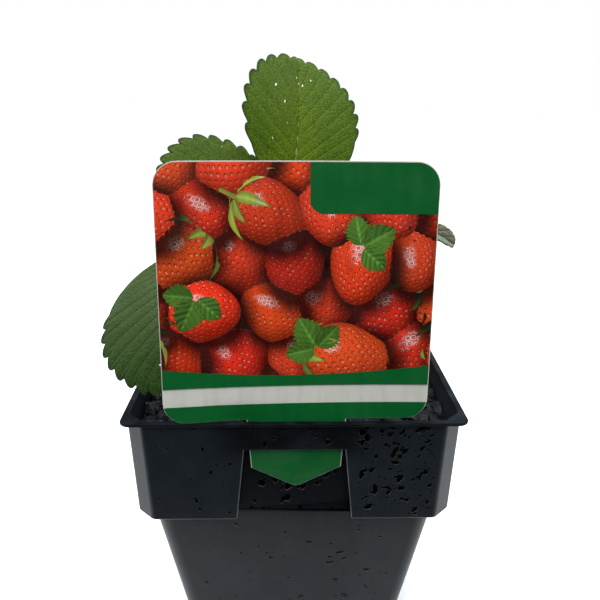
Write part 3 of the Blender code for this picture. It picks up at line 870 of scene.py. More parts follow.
@dataclass
class NurseryPot:
    """The square pot: lip, collar with facets at its corners, tapered body and label slots."""

    height: float
    half: float
    wall: float = 1.0
    floor: float = 1.2
    lip: float = 0.9
    overhang: float = 0.87
    collar_depth: float = 30.3
    collar_taper: float = 0.04
    collar_radius: float = 5.8
    step: float = 3.65
    slope: float = 0.4
    body_taper: float = 0.172
    body_radius: float = 5.2
    base_radius: float = 4.4
    lip_radius: float = 2.6
    band_depth: float = 8.3
    band: float = 0.7
    slot_half: float = 13.2
    window_half: float = 15.5
    drain_offset: float = 17.5
    corner_drain: float = 3.2
    side_drain: float = 2.2
    corner_steps: int = 8
    edge: float = 0.28
    sharp: float = 28.0
    creased: float = 35.0

    def collar_half(self, depth: float) -> float:
        """Half the collar's width at a depth below the rim."""
        return self.half - self.overhang - self.collar_taper * depth

    def body_half(self, depth: float) -> float:
        """Half the body's width at a depth below the rim."""
        top = self.collar_half(self.collar_depth) - self.step
        return top - self.body_taper * (depth - self.collar_depth)

    def slot_face(self, depth: float) -> float:
        """Distance from the axis to the slot's back wall."""
        return self.collar_half(depth) - self.step

    def corner(self, half: float, radius: float, form: Corner) -> Array:
        """One corner of a square ring, from the +X side round to the +Y side.

        Args:
            half: half the ring's width.
            radius: how far from the corner the turn starts.
            form: round, or a facet with soft edges.

        Returns:
            Rows of x and y.
        """
        count = self.corner_steps
        if form is Corner.ROUND:
            turn = np.linspace(0.0, math.pi / 2, 2 * count)
            return (half - radius) + radius * np.stack([np.cos(turn), np.sin(turn)], axis=1)
        chamfer, soft = 0.834 * radius, 0.4 * radius
        start = half - chamfer - soft * math.tan(math.pi / 8)
        turn = np.linspace(0.0, math.pi / 4, count)
        first = [half - soft, start] + soft * np.stack([np.cos(turn), np.sin(turn)], axis=1)
        return np.concatenate([first, first[::-1, ::-1]])

    def ring(self, half: float, radius: float, z: float, form: Corner = Corner.ROUND) -> Array:
        """A square ring, counter-clockwise from above.

        Args:
            half: half its width.
            radius: how far from its corners they turn.
            z: its height.
            form: how the corners turn.

        Returns:
            Rows of x, y and z.
        """
        corner = self.corner(half, radius, form)
        turns = [corner]
        for _ in range(3):
            corner = np.stack([-corner[:, 1], corner[:, 0]], axis=1)
            turns.append(corner)
        flat = np.concatenate(turns)
        return np.column_stack([flat, np.full(len(flat), z)])

    def loft(self, name: str, rings: list[Array]) -> Piece:
        """A closed body through rings.

        Args:
            name: the object's name.
            rings: the rings, all with the same number of points.

        Returns:
            The body.
        """
        shape = Shape()
        shape.add(np.concatenate(rings), tube_faces(len(rings), len(rings[0])))
        return shape.build(name)

    def outside(self) -> list[Array]:
        """The rings of the outer wall, from the base up.

        Returns:
            The rings.
        """
        base = self.body_half(self.height)
        shoulder = self.height - self.collar_depth
        return [
            self.ring(base - 0.8, self.base_radius, 0.0),
            self.ring(base, self.base_radius, 0.8),
            self.ring(self.body_half(self.collar_depth), self.body_radius, shoulder),
            self.ring(self.collar_half(self.collar_depth), self.collar_radius, shoulder + self.slope,
                      Corner.FACET),
            self.ring(self.collar_half(self.lip), self.collar_radius, self.height - self.lip,
                      Corner.FACET),
            self.ring(self.half, self.lip_radius, self.height - self.lip),
            self.ring(self.half, self.lip_radius, self.height),
        ]

    def inside(self, inset: float, floor: float, top: float) -> list[Array]:
        """The rings of the space inside the walls.

        Args:
            inset: how far inside the outer wall the rings lie.
            floor: height of the lowest ring.
            top: height of the highest ring.

        Returns:
            The rings.
        """
        ledge = self.height - self.collar_depth + inset
        return [
            self.ring(self.body_half(self.height - floor) - inset, self.base_radius, floor),
            self.ring(self.body_half(self.collar_depth) - inset, self.body_radius - inset, ledge),
            self.ring(self.collar_half(self.collar_depth) - inset, self.collar_radius - inset,
                      ledge + self.slope, Corner.FACET),
            self.ring(self.collar_half(self.height - top) - inset, self.collar_radius - inset, top,
                      Corner.FACET),
        ]

    def slot_prism(self, side: int, depths: tuple, back: float, front: float | None,
                   widen: float) -> Piece:
        """A prism in the collar's face, as wide as the slot.

        Args:
            side: -1 for the front of the pot and +1 for its back.
            depths: from the lowest to the highest depth below the rim.
            back: how far behind the slot's back wall the prism starts.
            front: how far inside the collar's face it ends, or None to go right through.
            widen: how much wider than the slot it is on each side.

        Returns:
            The prism.
        """
        rings = []
        for depth in depths:
            share = max(0.0, (depth - self.band_depth) / (self.collar_depth - self.band_depth))
            half = self.slot_half + share * (self.window_half - self.slot_half) + widen
            near = side * (self.slot_face(depth) - back)
            far = side * (self.half + 3 if front is None else self.collar_half(depth) - front)
            z = self.height - depth
            ring = [(-half, far, z), (half, far, z), (half, near, z), (-half, near, z)]
            rings.append(np.array(ring if side < 0 else ring[::-1]))
        return self.loft("prism", rings)

    def hollow(self, inset: float, floor: float, top: float) -> Piece:
        """The space inside the walls, less the walls of the label slots.

        Args:
            inset: how far inside the outer wall it stays.
            floor: its lowest height.
            top: its highest height.

        Returns:
            The space as a body.
        """
        room = self.loft("room", self.inside(inset, floor, top))
        for side in (-1, 1):
            cut(room, self.slot_prism(side, (self.collar_depth + 3, self.band_depth, -3), inset, None,
                                      inset))
        return room

    def drain(self, place: Place, radius: float) -> Piece:
        """A short cylinder through the floor.

        Args:
            place: its middle.
            radius: its radius.

        Returns:
            The cylinder.
        """
        turn = np.linspace(0.0, 2 * math.pi, 32, endpoint=False)
        flat = np.stack([np.cos(turn), np.sin(turn), 0 * turn], axis=1) * radius + place
        return self.loft("drain", [flat - (0, 0, 6), flat + (0, 0, 6)])

    def mark_edges(self, mesh: bpy.types.Mesh) -> None:
        """Give a bevel weight to the sharp edges that have room for a bevel.

        Args:
            mesh: the pot's mesh.
        """
        room = 0.5 * self.edge * MM
        with in_work(mesh) as bm:
            weight = bm.edges.layers.float.new("bevel_weight_edge")
            crowded = {v for v in bm.verts if min(e.calc_length() for e in v.link_edges) < room}
            for edge in bm.edges:
                sharp = edge.is_manifold and edge.calc_face_angle_signed() > math.radians(self.sharp)
                edge[weight] = float(sharp and not crowded.intersection(edge.verts))

    def build(self, finish: PotPlastic) -> Piece:
        """Make the pot, with its edges eased as moulding leaves them.

        Args:
            finish: its plastic.

        Returns:
            The pot.
        """
        pot = self.loft("pot_moulding", self.outside())
        cut(pot, self.hollow(self.wall, self.floor, self.height + 1))
        for side in (-1, 1):
            cut(pot, self.slot_prism(side, (self.band_depth + 1, -1), 0.0, self.band, 0.0))
            cut(pot, self.slot_prism(side, (self.collar_depth + 1, self.band_depth), 0.03, None, 0.0))
        for x in (-1, 0, 1):
            for y in (-1, 0, 1):
                if x or y:
                    place = (x * self.drain_offset, y * self.drain_offset, 0.0)
                    cut(pot, self.drain(place, self.corner_drain if x and y else self.side_drain))
        pot.data.materials.clear()
        for material in (finish.material(self), finish.edge(), finish.inside()):
            pot.data.materials.append(material)
        self.ease_edges(pot)
        self.sort_faces(pot.data)
        return dress(pot, "pot", "pot")

    def ease_edges(self, pot: Piece) -> None:
        """Round the pot's sharp edges, and keep its flat faces flat.

        Args:
            pot: the moulding.
        """
        self.mark_edges(pot.data)
        bevel = pot.modifiers.new("eased", "BEVEL")
        bevel.width = self.edge * MM
        bevel.segments = 3
        # the bevel's faces take the edge material, a painted highlight
        bevel.material = PotFace.EDGE
        bevel.limit_method = "WEIGHT"
        bevel.use_clamp_overlap = False
        bake(pot)
        pot.data.shade_smooth()
        pot.data.set_sharp_from_angle(angle=math.radians(self.creased))
        flats = pot.modifiers.new("flats", "WEIGHTED_NORMAL")
        flats.keep_sharp = True
        bake(pot)

    def sort_faces(self, mesh: bpy.types.Mesh) -> None:
        """Take the painted edge highlight off the faces at the lip, the floor and the band, and give
        the rim and the inner walls the inside material, painted darker as shade.

        Args:
            mesh: the pot's mesh.
        """
        for face in mesh.polygons:
            x, y, z = np.array(face.center) / MM
            depth = self.height - z
            at_band = abs(x) < self.slot_half + 0.5 and abs(depth - self.band_depth) < 2 * self.edge
            # no painted edge highlight near the lip, on the floor or at the band
            if depth < 1.5 * self.lip or z < self.floor or at_band:
                face.material_index = PotFace.WALL
            inner = max(abs(x), abs(y)) < self.collar_half(depth) - 0.5 * self.wall
            # the rim's top and the inner walls take the inside material, painted shade
            if depth < 0.1 * self.lip or (inner and depth < self.band_depth and face.normal.z > -0.5):
                face.material_index = PotFace.INSIDE


# ---------------- soil

@dataclass
class PottingMix:
    """The soil in the pot: a rough dark block, and bark chips and crumbs on it."""

    pot: NurseryPot
    gap: float = 0.3
    depth: float = 6.5
    relief: float = 2.2
    lumps: float = 0.16
    seed: float = 7.0
    cells: int = 120
    crown: Span = (0.0, 4.0)
    calm: Span = (5.0, 12.0)
    creased: float = 50.0
    chips: int = 330
    chip_sizes: Span = (2.0, 7.5)
    crumbs: int = 1300
    crumb_sizes: Span = (0.5, 1.9)
    flake_sides: int = 9
    flake: tuple[Span, ...] = ((0.0, -1.0), (0.8, -0.9), (1.0, 0.0), (0.82, 0.85), (0.45, 1.0),
                               (0.0, 1.05))
    lean: float = 0.35
    peat: WetMix = WetMix()
    bark: WetMix = WetMix((0.0012, 0.0020, 0.0038), (0.0110, 0.0125, 0.0175), 0.30)
    rng: Chance = field(init=False)

    def level(self, flat: Array) -> Array:
        """Height of the soil at each x and y.

        Args:
            flat: rows of x and y.

        Returns:
            The heights.
        """
        point = np.column_stack([flat * self.lumps, np.full(len(flat), self.seed)])
        coarse = rough_field(point, 1.0, 0.0) + 0.5 * rough_field(point, 2.3, 0.0)
        away = np.hypot(flat[:, 0] - self.crown[0], flat[:, 1] - self.crown[1])
        calm = np.clip((away - self.calm[0]) / (self.calm[1] - self.calm[0]), 0.0, 1.0)
        fine = 0.35 * rough_field(flat, 0.55, 3.0) + 0.22 * rough_field(flat, 1.3, 9.0)
        return self.pot.height - self.depth + self.relief * coarse * calm + fine

    def blanket(self) -> Piece:
        """A block with the soil's rough top, wider than the pot.

        Returns:
            The block.
        """
        half = self.pot.half + 3
        line = np.linspace(-half, half, self.cells)
        rings = []
        for y in line:
            flat = np.column_stack([line, np.full(self.cells, y)])
            foot = [(half, y, -3.0), (-half, y, -3.0)]
            rings.append(np.vstack([np.column_stack([flat, self.level(flat)]), foot]))
        return self.pot.loft("blanket", rings)

    def scatter(self, count: int, edge: float) -> Array:
        """Random places on the soil, inside the pot's walls.

        Args:
            count: how many places.
            edge: how far they stay from the walls.

        Returns:
            Rows of x, y and z.
        """
        half = self.pot.collar_half(self.depth) - self.pot.wall - edge
        found = self.rng.uniform(-half, half, (count * 2, 2))
        in_slot = (np.abs(found[:, 0]) < self.pot.slot_half + 1.5) & (
            np.abs(found[:, 1]) > self.pot.slot_face(self.depth) - self.pot.wall - edge)
        in_corner = np.abs(found).sum(axis=1) > 2 * half - 4.5
        flat = found[~in_slot & ~in_corner][:count]
        return np.column_stack([flat, self.level(flat)])

    def chip(self, size: float) -> tuple[Array, list]:
        """One flake of bark, torn round and a little bent.

        Args:
            size: its length.

        Returns:
            Its points round its own middle, and its faces.
        """
        sides = self.flake_sides
        turn = np.linspace(0, 2 * math.pi, sides, endpoint=False) + self.rng.uniform(0, 0.4, sides)
        reach = self.rng.uniform(0.7, 1.0, sides)
        outline = np.column_stack([0.5 * np.cos(turn), self.rng.uniform(0.2, 0.36) * np.sin(turn)])
        rim = outline * reach[:, None] * size
        thick = self.rng.uniform(0.10, 0.2) * size
        bow = self.rng.uniform(-0.5, 0.5) / size
        layers = []
        for shrink, rise in self.flake:
            flat = rim * shrink + self.rng.normal(0, 0.02 * size, rim.shape) * (shrink > 0)
            z = 0.5 * thick * rise + bow * (flat ** 2).sum(axis=1)
            z = z + self.rng.normal(0, 0.03 * thick, sides)
            layers.append(np.column_stack([flat, z]))
        return np.concatenate(layers), grid_faces(len(layers), sides, True).tolist()

    def turned(self, points: Array) -> Array:
        """Turn points at random about the upright, then tip them.

        Args:
            points: rows of x, y and z.

        Returns:
            The turned rows.
        """
        spin, tip = self.rng.uniform(0, 2 * math.pi), self.rng.normal(0, self.lean)
        axis = self.rng.uniform(0, 2 * math.pi)
        points = spun(points, spin)
        k = np.array([math.cos(axis), math.sin(axis), 0.0])
        return (points * math.cos(tip) + np.cross(k, points) * math.sin(tip)
                + np.outer(points @ k, k) * (1 - math.cos(tip)))

    def debris(self, name: str, count: int, sizes: Span, seed: int, finish: WetMix) -> Piece:
        """Loose flakes that lie on the soil.

        Args:
            name: the piece's name.
            count: how many.
            sizes: the shortest and the longest.
            seed: fixes the draw.
            finish: their surface.

        Returns:
            The piece.
        """
        self.rng = np.random.default_rng(seed)
        shape = Shape()
        for place in self.scatter(count, sizes[1] * 0.4):
            size = sizes[0] + (sizes[1] - sizes[0]) * self.rng.random() ** 2
            points, faces = self.chip(size)
            shape.add(self.turned(points) + place + (0, 0, 0.12 * size), faces)
        return dress(shape.build(name, finish.material(name)), "soil")

    def build(self) -> None:
        """Make the soil and what lies on it."""
        pot = self.pot
        soil = pot.hollow(pot.wall + self.gap, pot.floor + self.gap, pot.height + 3)
        soil.name = "potting_mix"
        cut(soil, self.blanket(), Keep.INSIDE)
        soil.data.materials.clear()
        soil.data.materials.append(self.peat.material("wet_mix"))
        soil.data.shade_smooth()
        soil.data.set_sharp_from_angle(angle=math.radians(self.creased))
        dress(soil, "soil", "soil")
        self.debris("bark_chips", self.chips, self.chip_sizes, 11, self.bark)
        self.debris("peat_crumbs", self.crumbs, self.crumb_sizes, 12, self.peat)


# ---------------- leaves

@dataclass
class Leaflet:
    """One blade: its place from the rim's centre, its size, its curvature and its edge."""

    base: Place
    direction: Place
    normal: Place
    length: float
    width: float
    fold: float = 0.1
    cup: float = 0.1
    arch: float = 0.5
    fullness: float = 0.8
    roundness: float = 1.1
    teeth: int = 8
    plain: float = 0.22
    bite: float = 0.045
    pleat: float = 0.22
    uneven: float = 0.0
    # how much darker the blade is painted, as painted shade
    age: float = 0.0

    def half(self, side: float) -> Leaflet:
        """The blade with the teeth of one of its sides, +1 or -1."""
        return replace(self, plain=self.plain + side * self.uneven, uneven=0.0)

    @property
    def pitch(self) -> float:
        """The share of the half outline that one tooth takes."""
        return (1 - self.plain) / (self.teeth + 0.5)

    def tooth(self, share: Array) -> Array:
        """How far the edge stands out.

        Args:
            share: places on the half outline, from 0 to 1.

        Returns:
            One height a place.
        """
        phase = (share - self.plain) / self.pitch
        within = phase - np.floor(phase + 1e-9)
        swing = np.sin(math.pi * np.clip(within, 0, 1) ** 1.35)
        last = np.sin(math.pi * np.clip(phase - self.teeth, 0.0, 0.5))
        profile = np.clip(np.where(phase >= self.teeth - 1e-9, last, swing), 0.0, 1.0) ** 0.65
        growth = np.minimum(1.0, 0.45 + 4 * (share - self.plain))
        height = self.bite * math.sqrt(self.length * self.width) * profile * growth
        return np.where(share <= self.plain, 0.0, height)

    def outline(self, share: Array) -> tuple[Array, Array]:
        """The half outline: its plain points and how far its teeth move each of them.

        Args:
            share: places from 0 at the blade's base to 1 at its tip.

        Returns:
            Rows of x and y, and rows of the teeth's shift.
        """
        angle = np.linspace(0.0, math.pi, 1500)
        along = self.length * ((1 - np.cos(angle)) / 2) ** self.fullness
        across = 0.5 * self.width * np.sin(angle) ** self.roundness
        arc = np.concatenate([[0.0], np.cumsum(np.hypot(np.diff(across), np.diff(along)))])
        place = share * arc[-1]
        edge = np.stack([np.interp(place, arc, across), np.interp(place, arc, along)], axis=1)
        tangent = unit(np.stack([np.interp(place, arc, np.gradient(across, arc)),
                                 np.interp(place, arc, np.gradient(along, arc))], axis=1))
        lean = 0.45 * np.minimum(1.0, 4 * (1 - share))[:, None]
        outward = np.stack([tangent[:, 1], -tangent[:, 0]], axis=1)
        shift = self.tooth(share)[:, None] * (outward + lean * tangent)
        shift[share >= 1, 0] = 0.0
        return edge, shift

    def place(self, x: Array, y: Array, lift: Array) -> Array:
        """Fold, cup and arch flat points into their place.

        Args:
            x: across the blade.
            y: along it.
            lift: above it.

        Returns:
            Rows of x, y and z from the rim's centre.
        """
        end = self.arch * y / self.length
        z = self.fold * (np.hypot(x, 0.02 * self.width) - 0.02 * self.width)
        z = z - self.cup * x * x / self.width + lift
        turned = np.where(np.abs(end) < 1e-6, 0.0, (1 - np.cos(end)) / np.where(end == 0, 1, end))
        forward = y * np.sinc(end / math.pi) + z * np.sin(end)
        rise = -y * turned + z * np.cos(end)
        along = unit(np.array(self.direction))
        up = np.array(self.normal)
        up = unit(up - along * (up @ along))
        across = np.cross(along, up)
        squeeze = math.sqrt(1 - 0.5 * min(self.fold, 0.95) ** 2)
        return (np.array(self.base) + np.multiply.outer(x * squeeze, across)
                + np.multiply.outer(forward, along) + np.multiply.outer(rise, up))

    def rib(self, share: Array) -> Array:
        """How far along the midrib the side veins start that end at shares of the edge."""
        return 0.86 * self.length * share ** 2.1

    def shares(self) -> Array:
        """Where the outline's points lie: close together at each notch.

        Returns:
            Shares from 0 to 1.
        """
        tooth = np.array([0.0, 0.05, 0.13, 0.24, 0.36, 0.48, 0.6, 0.72, 0.83, 0.92, 0.97])
        teeth = [self.plain + self.pitch * (i + tooth) for i in range(self.teeth)]
        tip = 1 - self.pitch * np.array([0.5, 0.42, 0.32, 0.22, 0.12, 0.05, 0.0])
        return np.concatenate([np.linspace(0.0, self.plain, 12, endpoint=False), *teeth, tip])

    def surface(self, side: int, number: float) -> tuple[Array, Array, dict[str, Array]]:
        """One half of the blade, from the midrib to the toothed edge.

        Args:
            side: +1 or -1.
            number: tells this blade's texture from its neighbours'.

        Returns:
            Points from the rim's centre, faces, and the attributes for the skin.
        """
        reach = np.array([0.0, 0.03, 0.08, 0.14, 0.21, 0.29, 0.37, 0.45, 0.53, 0.61, 0.69, 0.76, 0.82,
                          0.87, 0.91, 0.945, 0.97, 0.988, 1.0])
        half = self.half(side)
        share = half.shares()
        edge, shift = half.outline(share)
        rib = np.stack([0 * share, self.rib(self.shares())], axis=1)
        r = reach[:, None, None]
        flat = rib[None] + (edge - rib)[None] * r + shift[None] * ease(0.72, 1.0, r) ** 1.5
        x, y = np.maximum(flat[..., 0], 0.0), flat[..., 1]
        phase = np.broadcast_to((share - half.plain) / half.pitch - 0.6, x.shape)
        step = np.gradient(flat, axis=1) / np.gradient(phase, axis=1)[..., None]
        vein = unit(edge - rib)[None]
        spacing = np.abs(step[..., 0] * vein[..., 1] - step[..., 1] * vein[..., 0])
        off = np.abs(phase - np.round(phase))
        pillow = self.pleat * np.minimum(spacing / 4.0, 1.2) * np.sin(math.pi * off) ** 0.8
        wave = rough_field(np.column_stack([x.ravel() * side, y.ravel()]), 0.075, 5.0 + number)
        lift = pillow + 0.55 * wave.reshape(x.shape) * reach[:, None] ** 0.7
        lift = lift - 0.35 * ease(0.86, 1.0, reach)[:, None]
        lift = lift - 0.22 * np.exp(-(x / 0.55) ** 2)
        points = self.place(side * x, y, lift).reshape(-1, 3)
        faces = grid_faces(len(reach), len(share))
        size = x.size
        veins = np.stack([phase.ravel(), np.broadcast_to(reach[:, None], x.shape).ravel(),
                          spacing.ravel()], axis=1)
        flat_map = np.stack([side * x.ravel(), y.ravel(), np.full(size, 10.0 * number)], axis=1)
        values = {"veins": veins, "flat": flat_map, "age": np.full(size, self.age)}
        return points, faces if side < 0 else faces[:, ::-1], values


@dataclass
class Leaf:
    """A leaf: where its stalk leaves the soil, the stalk's way, and its leaflets."""

    name: str
    root_angle: float
    stalk: list[Place]
    blades: list[Leaflet]
    skin: LeafSkin
    slot: str = "leaf"
    hairs_per_mm: float = 5.0
    hair_length: float = 1.1
    stalk_radius: float = 1.15
    stalk_sides: int = 12
    rib_radii: Span = (0.72, 0.16)
    rib_rise: Span = (0.8, 1.0)
    rib_stops: tuple[float, ...] = (0.02, 0.12, 0.25, 0.4, 0.55, 0.7, 0.84)
    weld: float = 0.004
    thick: float = 0.34
    crown: Span = (0.0, 0.0)
    ring: float = 7.4
    rim_height: float = 0.0

    def stalk_line(self) -> Array:
        """The stalk's centre line, from below the soil to the leaflets.

        Returns:
            Rows of x, y and z from the rim's centre.
        """
        angle = math.radians(self.root_angle)
        foot = np.array([self.crown[0] + self.ring * math.cos(angle),
                         self.crown[1] + self.ring * math.sin(angle)])
        buried = [np.array([*foot, -14.0]), np.array([*foot, -6.0])]
        points = [*buried, *(np.array(place) for place in self.stalk)]
        return smooth_line(points, 10)

    def lamina(self) -> Piece:
        """The leaflets as thin closed blades, their lower faces with the skin of the underside.

        Returns:
            All the blades as one object.
        """
        shape = Shape()
        for number, leaflet in enumerate(self.blades):
            for side in (1, -1):
                points, faces, values = leaflet.surface(side, number + len(self.name))
                shape.add(points + (0, 0, self.rim_height), faces, **values)
        item = shape.build(self.name + "_blades", self.skin.material(self.name, Side.UPPER),
                           self.skin.material(self.name, Side.UNDER))
        with in_work(item.data) as bm:
            bmesh.ops.remove_doubles(bm, verts=bm.verts, dist=self.weld * MM)
            bmesh.ops.dissolve_degenerate(bm, edges=bm.edges, dist=0.5 * self.weld * MM)
        thick = item.modifiers.new("thickness", "SOLIDIFY")
        thick.thickness = self.thick * MM
        thick.offset = 0.0
        thick.material_offset = 1
        return bake(item)

    def build(self) -> None:
        """Make the leaf: its blades, its stalk with the ribs under the blades, and its hairs."""
        dress(self.lamina(), self.slot, self.name)
        line = self.stalk_line()
        shape = Shape()
        rise = np.linspace(0.0, 1.0, len(line))
        self.bar(shape, line, self.stalk_radius * (1 - 0.15 * rise), rise)
        for leaflet in self.blades:
            y = leaflet.length * np.array(self.rib_stops)
            under_rib = leaflet.place(0 * y, y, np.full(len(y), -0.30))
            rib = smooth_line([line[-1], *under_rib], 4)
            self.bar(shape, rib, np.linspace(*self.rib_radii, len(rib)),
                     np.linspace(*self.rib_rise, len(rib)))
        dress(shape.build(self.name + "_stalk", StalkSkin().material()), self.slot)
        self.hairs(line)

    def bar(self, shape: Shape, line: Array, radii: Array, rise: Array) -> None:
        """Add a round bar with closed ends.

        Args:
            shape: what it is added to.
            line: its centre line.
            radii: the radius at each of the line's points.
            rise: how far up the leaf each of them is.
        """
        sides = self.stalk_sides
        ahead = unit(np.gradient(line, axis=0))
        across, upward = tangent_frame(ahead)
        for i in range(1, len(line)):
            across[i] = unit(across[i - 1] - ahead[i] * (across[i - 1] @ ahead[i]))
            upward[i] = np.cross(ahead[i], across[i])
        turn = np.linspace(0.0, 2 * math.pi, sides, endpoint=False)[None, :, None]
        ring = np.cos(turn) * across[:, None] + np.sin(turn) * upward[:, None]
        points = (line + (0, 0, self.rim_height))[:, None] + ring * radii[:, None, None]
        shape.add(points.reshape(-1, 3), tube_faces(len(line), sides), rise=np.repeat(rise, sides))

    def hairs(self, line: Array) -> None:
        """Fine hairs that stand out all round the stalk and along the blades' edges.

        Args:
            line: the stalk's centre line.
        """
        rng = np.random.default_rng(len(self.name) + int(self.root_angle) % 360)
        length = np.linalg.norm(np.diff(line, axis=0), axis=1).sum()
        roots, ways = [], []
        above = line[len(line) // 6:]
        place = rng.uniform(0, len(above) - 1.001, int(length * self.hairs_per_mm))
        low, part = place.astype(int), (place % 1)[:, None]
        centre = above[low] * (1 - part) + above[low + 1] * part
        ahead = unit(above[low + 1] - above[low])
        across, upward = tangent_frame(ahead)
        turn = rng.uniform(0, 2 * math.pi, len(place))[:, None]
        outward = across * np.cos(turn) + upward * np.sin(turn)
        roots.append(centre + outward * 0.95 * self.stalk_radius)
        ways.append(outward + ahead * rng.normal(0.25, 0.2, turn.shape))
        for leaflet in self.blades:
            share = rng.uniform(0.02, 0.999, int(4 * leaflet.length))
            side = rng.choice((-1.0, 1.0), len(share))
            right, left = (np.add(*leaflet.half(way).outline(share)) for way in (1, -1))
            x, y = np.where(side[:, None] > 0, right, left).T
            lift = np.full(len(share), -0.35)
            here = leaflet.place(side * x, y, lift)
            out = leaflet.place(side * x * 1.03, y * 1.03, lift + rng.normal(0, 0.4, len(share)))
            roots.append(here)
            ways.append(out - here + rng.normal(0, 0.15, here.shape))
        self.strands(rng, np.concatenate(roots), unit(np.concatenate(ways)))

    def strands(self, rng: Chance, roots: Array, ways: Array) -> None:
        """Make hairs as slim three-sided spikes.

        Args:
            rng: the source of chance.
            roots: where they stand.
            ways: the unit directions in which they point.
        """
        count = len(roots)
        length = self.hair_length * rng.uniform(0.35, 1.0, count)[:, None]
        across, upward = tangent_frame(ways)
        middle = roots + ways * 0.5 * length
        tip = roots + ways * length + rng.normal(0, 0.08, roots.shape) * length
        corners = []
        for base, radius in ((roots, 0.022), (middle, 0.016)):
            for turn in (0.0, 2.1, 4.2):
                corners.append(base + radius * (across * math.cos(turn) + upward * math.sin(turn)))
        points = np.stack([*corners, tip], axis=1).reshape(-1, 3)
        cell = [[0, 1, 4, 3], [1, 2, 5, 4], [2, 0, 3, 5], [3, 4, 6], [4, 5, 6], [5, 3, 6], [0, 2, 1]]
        faces = [[i + 7 * k for i in face] for k in range(count) for face in cell]
        shape = Shape()
        shape.add(points + (0, 0, self.rim_height), faces)
        dress(shape.build(self.name + "_hairs", Hair().material()), self.slot)


# ---------------- crown

@dataclass
class Crown:
    """The short stump that the leaves grow from, wrapped in papery scales."""

    place: Span
    surface: float
    radius: float = 4.3
    rise: float = 4.9
    sink: float = 8.0
    sides: int = 48
    scales: int = 9
    scale_grid: tuple[int, int] = (9, 7)
    scale_thick: float = 0.15

    def build(self, finish: CrownBark) -> None:
        """Make the stump and its scales.

        Args:
            finish: its bark.
        """
        rng = np.random.default_rng(3)
        z = np.array([-1.0, -0.4, 0.0, 0.3, 0.55, 0.75, 0.9, 0.97, 1.0])
        width = np.array([0.7, 0.95, 1.0, 0.95, 0.88, 0.7, 0.45, 0.2, 0.02])
        height = np.where(z < 0, z * self.sink, z * self.rise)
        turn = np.linspace(0.0, 2 * math.pi, self.sides, endpoint=False)
        ribs = 1 + 0.05 * np.sin(7 * turn) + 0.02 * rng.normal(size=self.sides)
        radius = self.radius * width[:, None] * ribs[None]
        points = np.stack([radius * np.cos(turn), radius * np.sin(turn),
                           np.broadcast_to(height[:, None], radius.shape)], axis=-1)
        shape = Shape()
        middle = np.array([*self.place, self.surface])
        shape.add(points.reshape(-1, 3) + middle, grid_faces(len(z), self.sides, True))
        for i in range(self.scales):
            shape.add(*self.scale(2 * math.pi * i / self.scales + rng.uniform(-0.2, 0.2),
                                  rng.uniform(0.7, 1.0), middle))
        item = shape.build("crown_scales", finish.material())
        thick = item.modifiers.new("thickness", "SOLIDIFY")
        thick.thickness = self.scale_thick * MM
        bake(item)
        dress(item, "crown", "crown")

    def scale(self, turn: float, size: float, middle: Array) -> tuple[Array, Array]:
        """One scale: a pointed strip that hugs the stump and bends out at its tip.

        Args:
            turn: its direction from the axis.
            size: its share of the full height.
            middle: the crown's place at the soil.

        Returns:
            Its points and faces.
        """
        rows, columns = self.scale_grid
        along = np.linspace(0.0, 1.0, rows)[:, None]
        across = np.linspace(-1.0, 1.0, columns)[None]
        width = 0.42 * np.sqrt(1 - along ** 2.2)
        angle = turn + across * width
        reach = self.radius * (1.04 - 0.25 * along ** 2 + 0.22 * along ** 5) + 0.15 * np.abs(across)
        z = size * self.rise * (1.18 * along) + 0 * across
        points = np.stack([reach * np.cos(angle), reach * np.sin(angle), z], axis=-1)
        return points.reshape(-1, 3) + middle, grid_faces(rows, columns)


# ---------------- label

@dataclass
class PrintedBerry:
    """One strawberry of the picture: where it lies on the card and how it is turned."""

    centre: Array
    width: float
    length: float
    tip: Array
    tone: float
    calyx: bool

    def profile(self, polar: Array) -> tuple[Array, Array]:
        """How far down the berry's axis and how far out from it the skin lies.

        Args:
            polar: from 0 at the stem to pi at the tip.

        Returns:
            The two distances.
        """
        down = (1 - np.cos(polar)) / 2
        swell = np.sin(np.clip(polar, 1e-4, math.pi - 1e-4)) ** 0.82
        return down * self.length, 0.56 * self.width * swell * (1 - 0.36 * down ** 1.4)

    def skin(self, polar: Array, turn: Array) -> tuple[Array, Array]:
        """Points and outward directions of the berry's skin.

        Args:
            polar: from 0 at the stem to pi at the tip.
            turn: angle round the berry's axis.

        Returns:
            Both, a row each.
        """
        step = 1e-3
        down, radius = self.profile(polar)
        next_down, next_radius = self.profile(polar + step)
        (across,), (upward,) = tangent_frame(self.tip[None])
        outward = np.cos(turn)[..., None] * across + np.sin(turn)[..., None] * upward
        start = self.centre - self.tip * self.length / 2
        points = start + down[..., None] * self.tip + radius[..., None] * outward
        slope = ((next_radius - radius) / step)[..., None]
        rise = ((next_down - down) / step)[..., None]
        return points, unit(outward * rise - self.tip * slope)


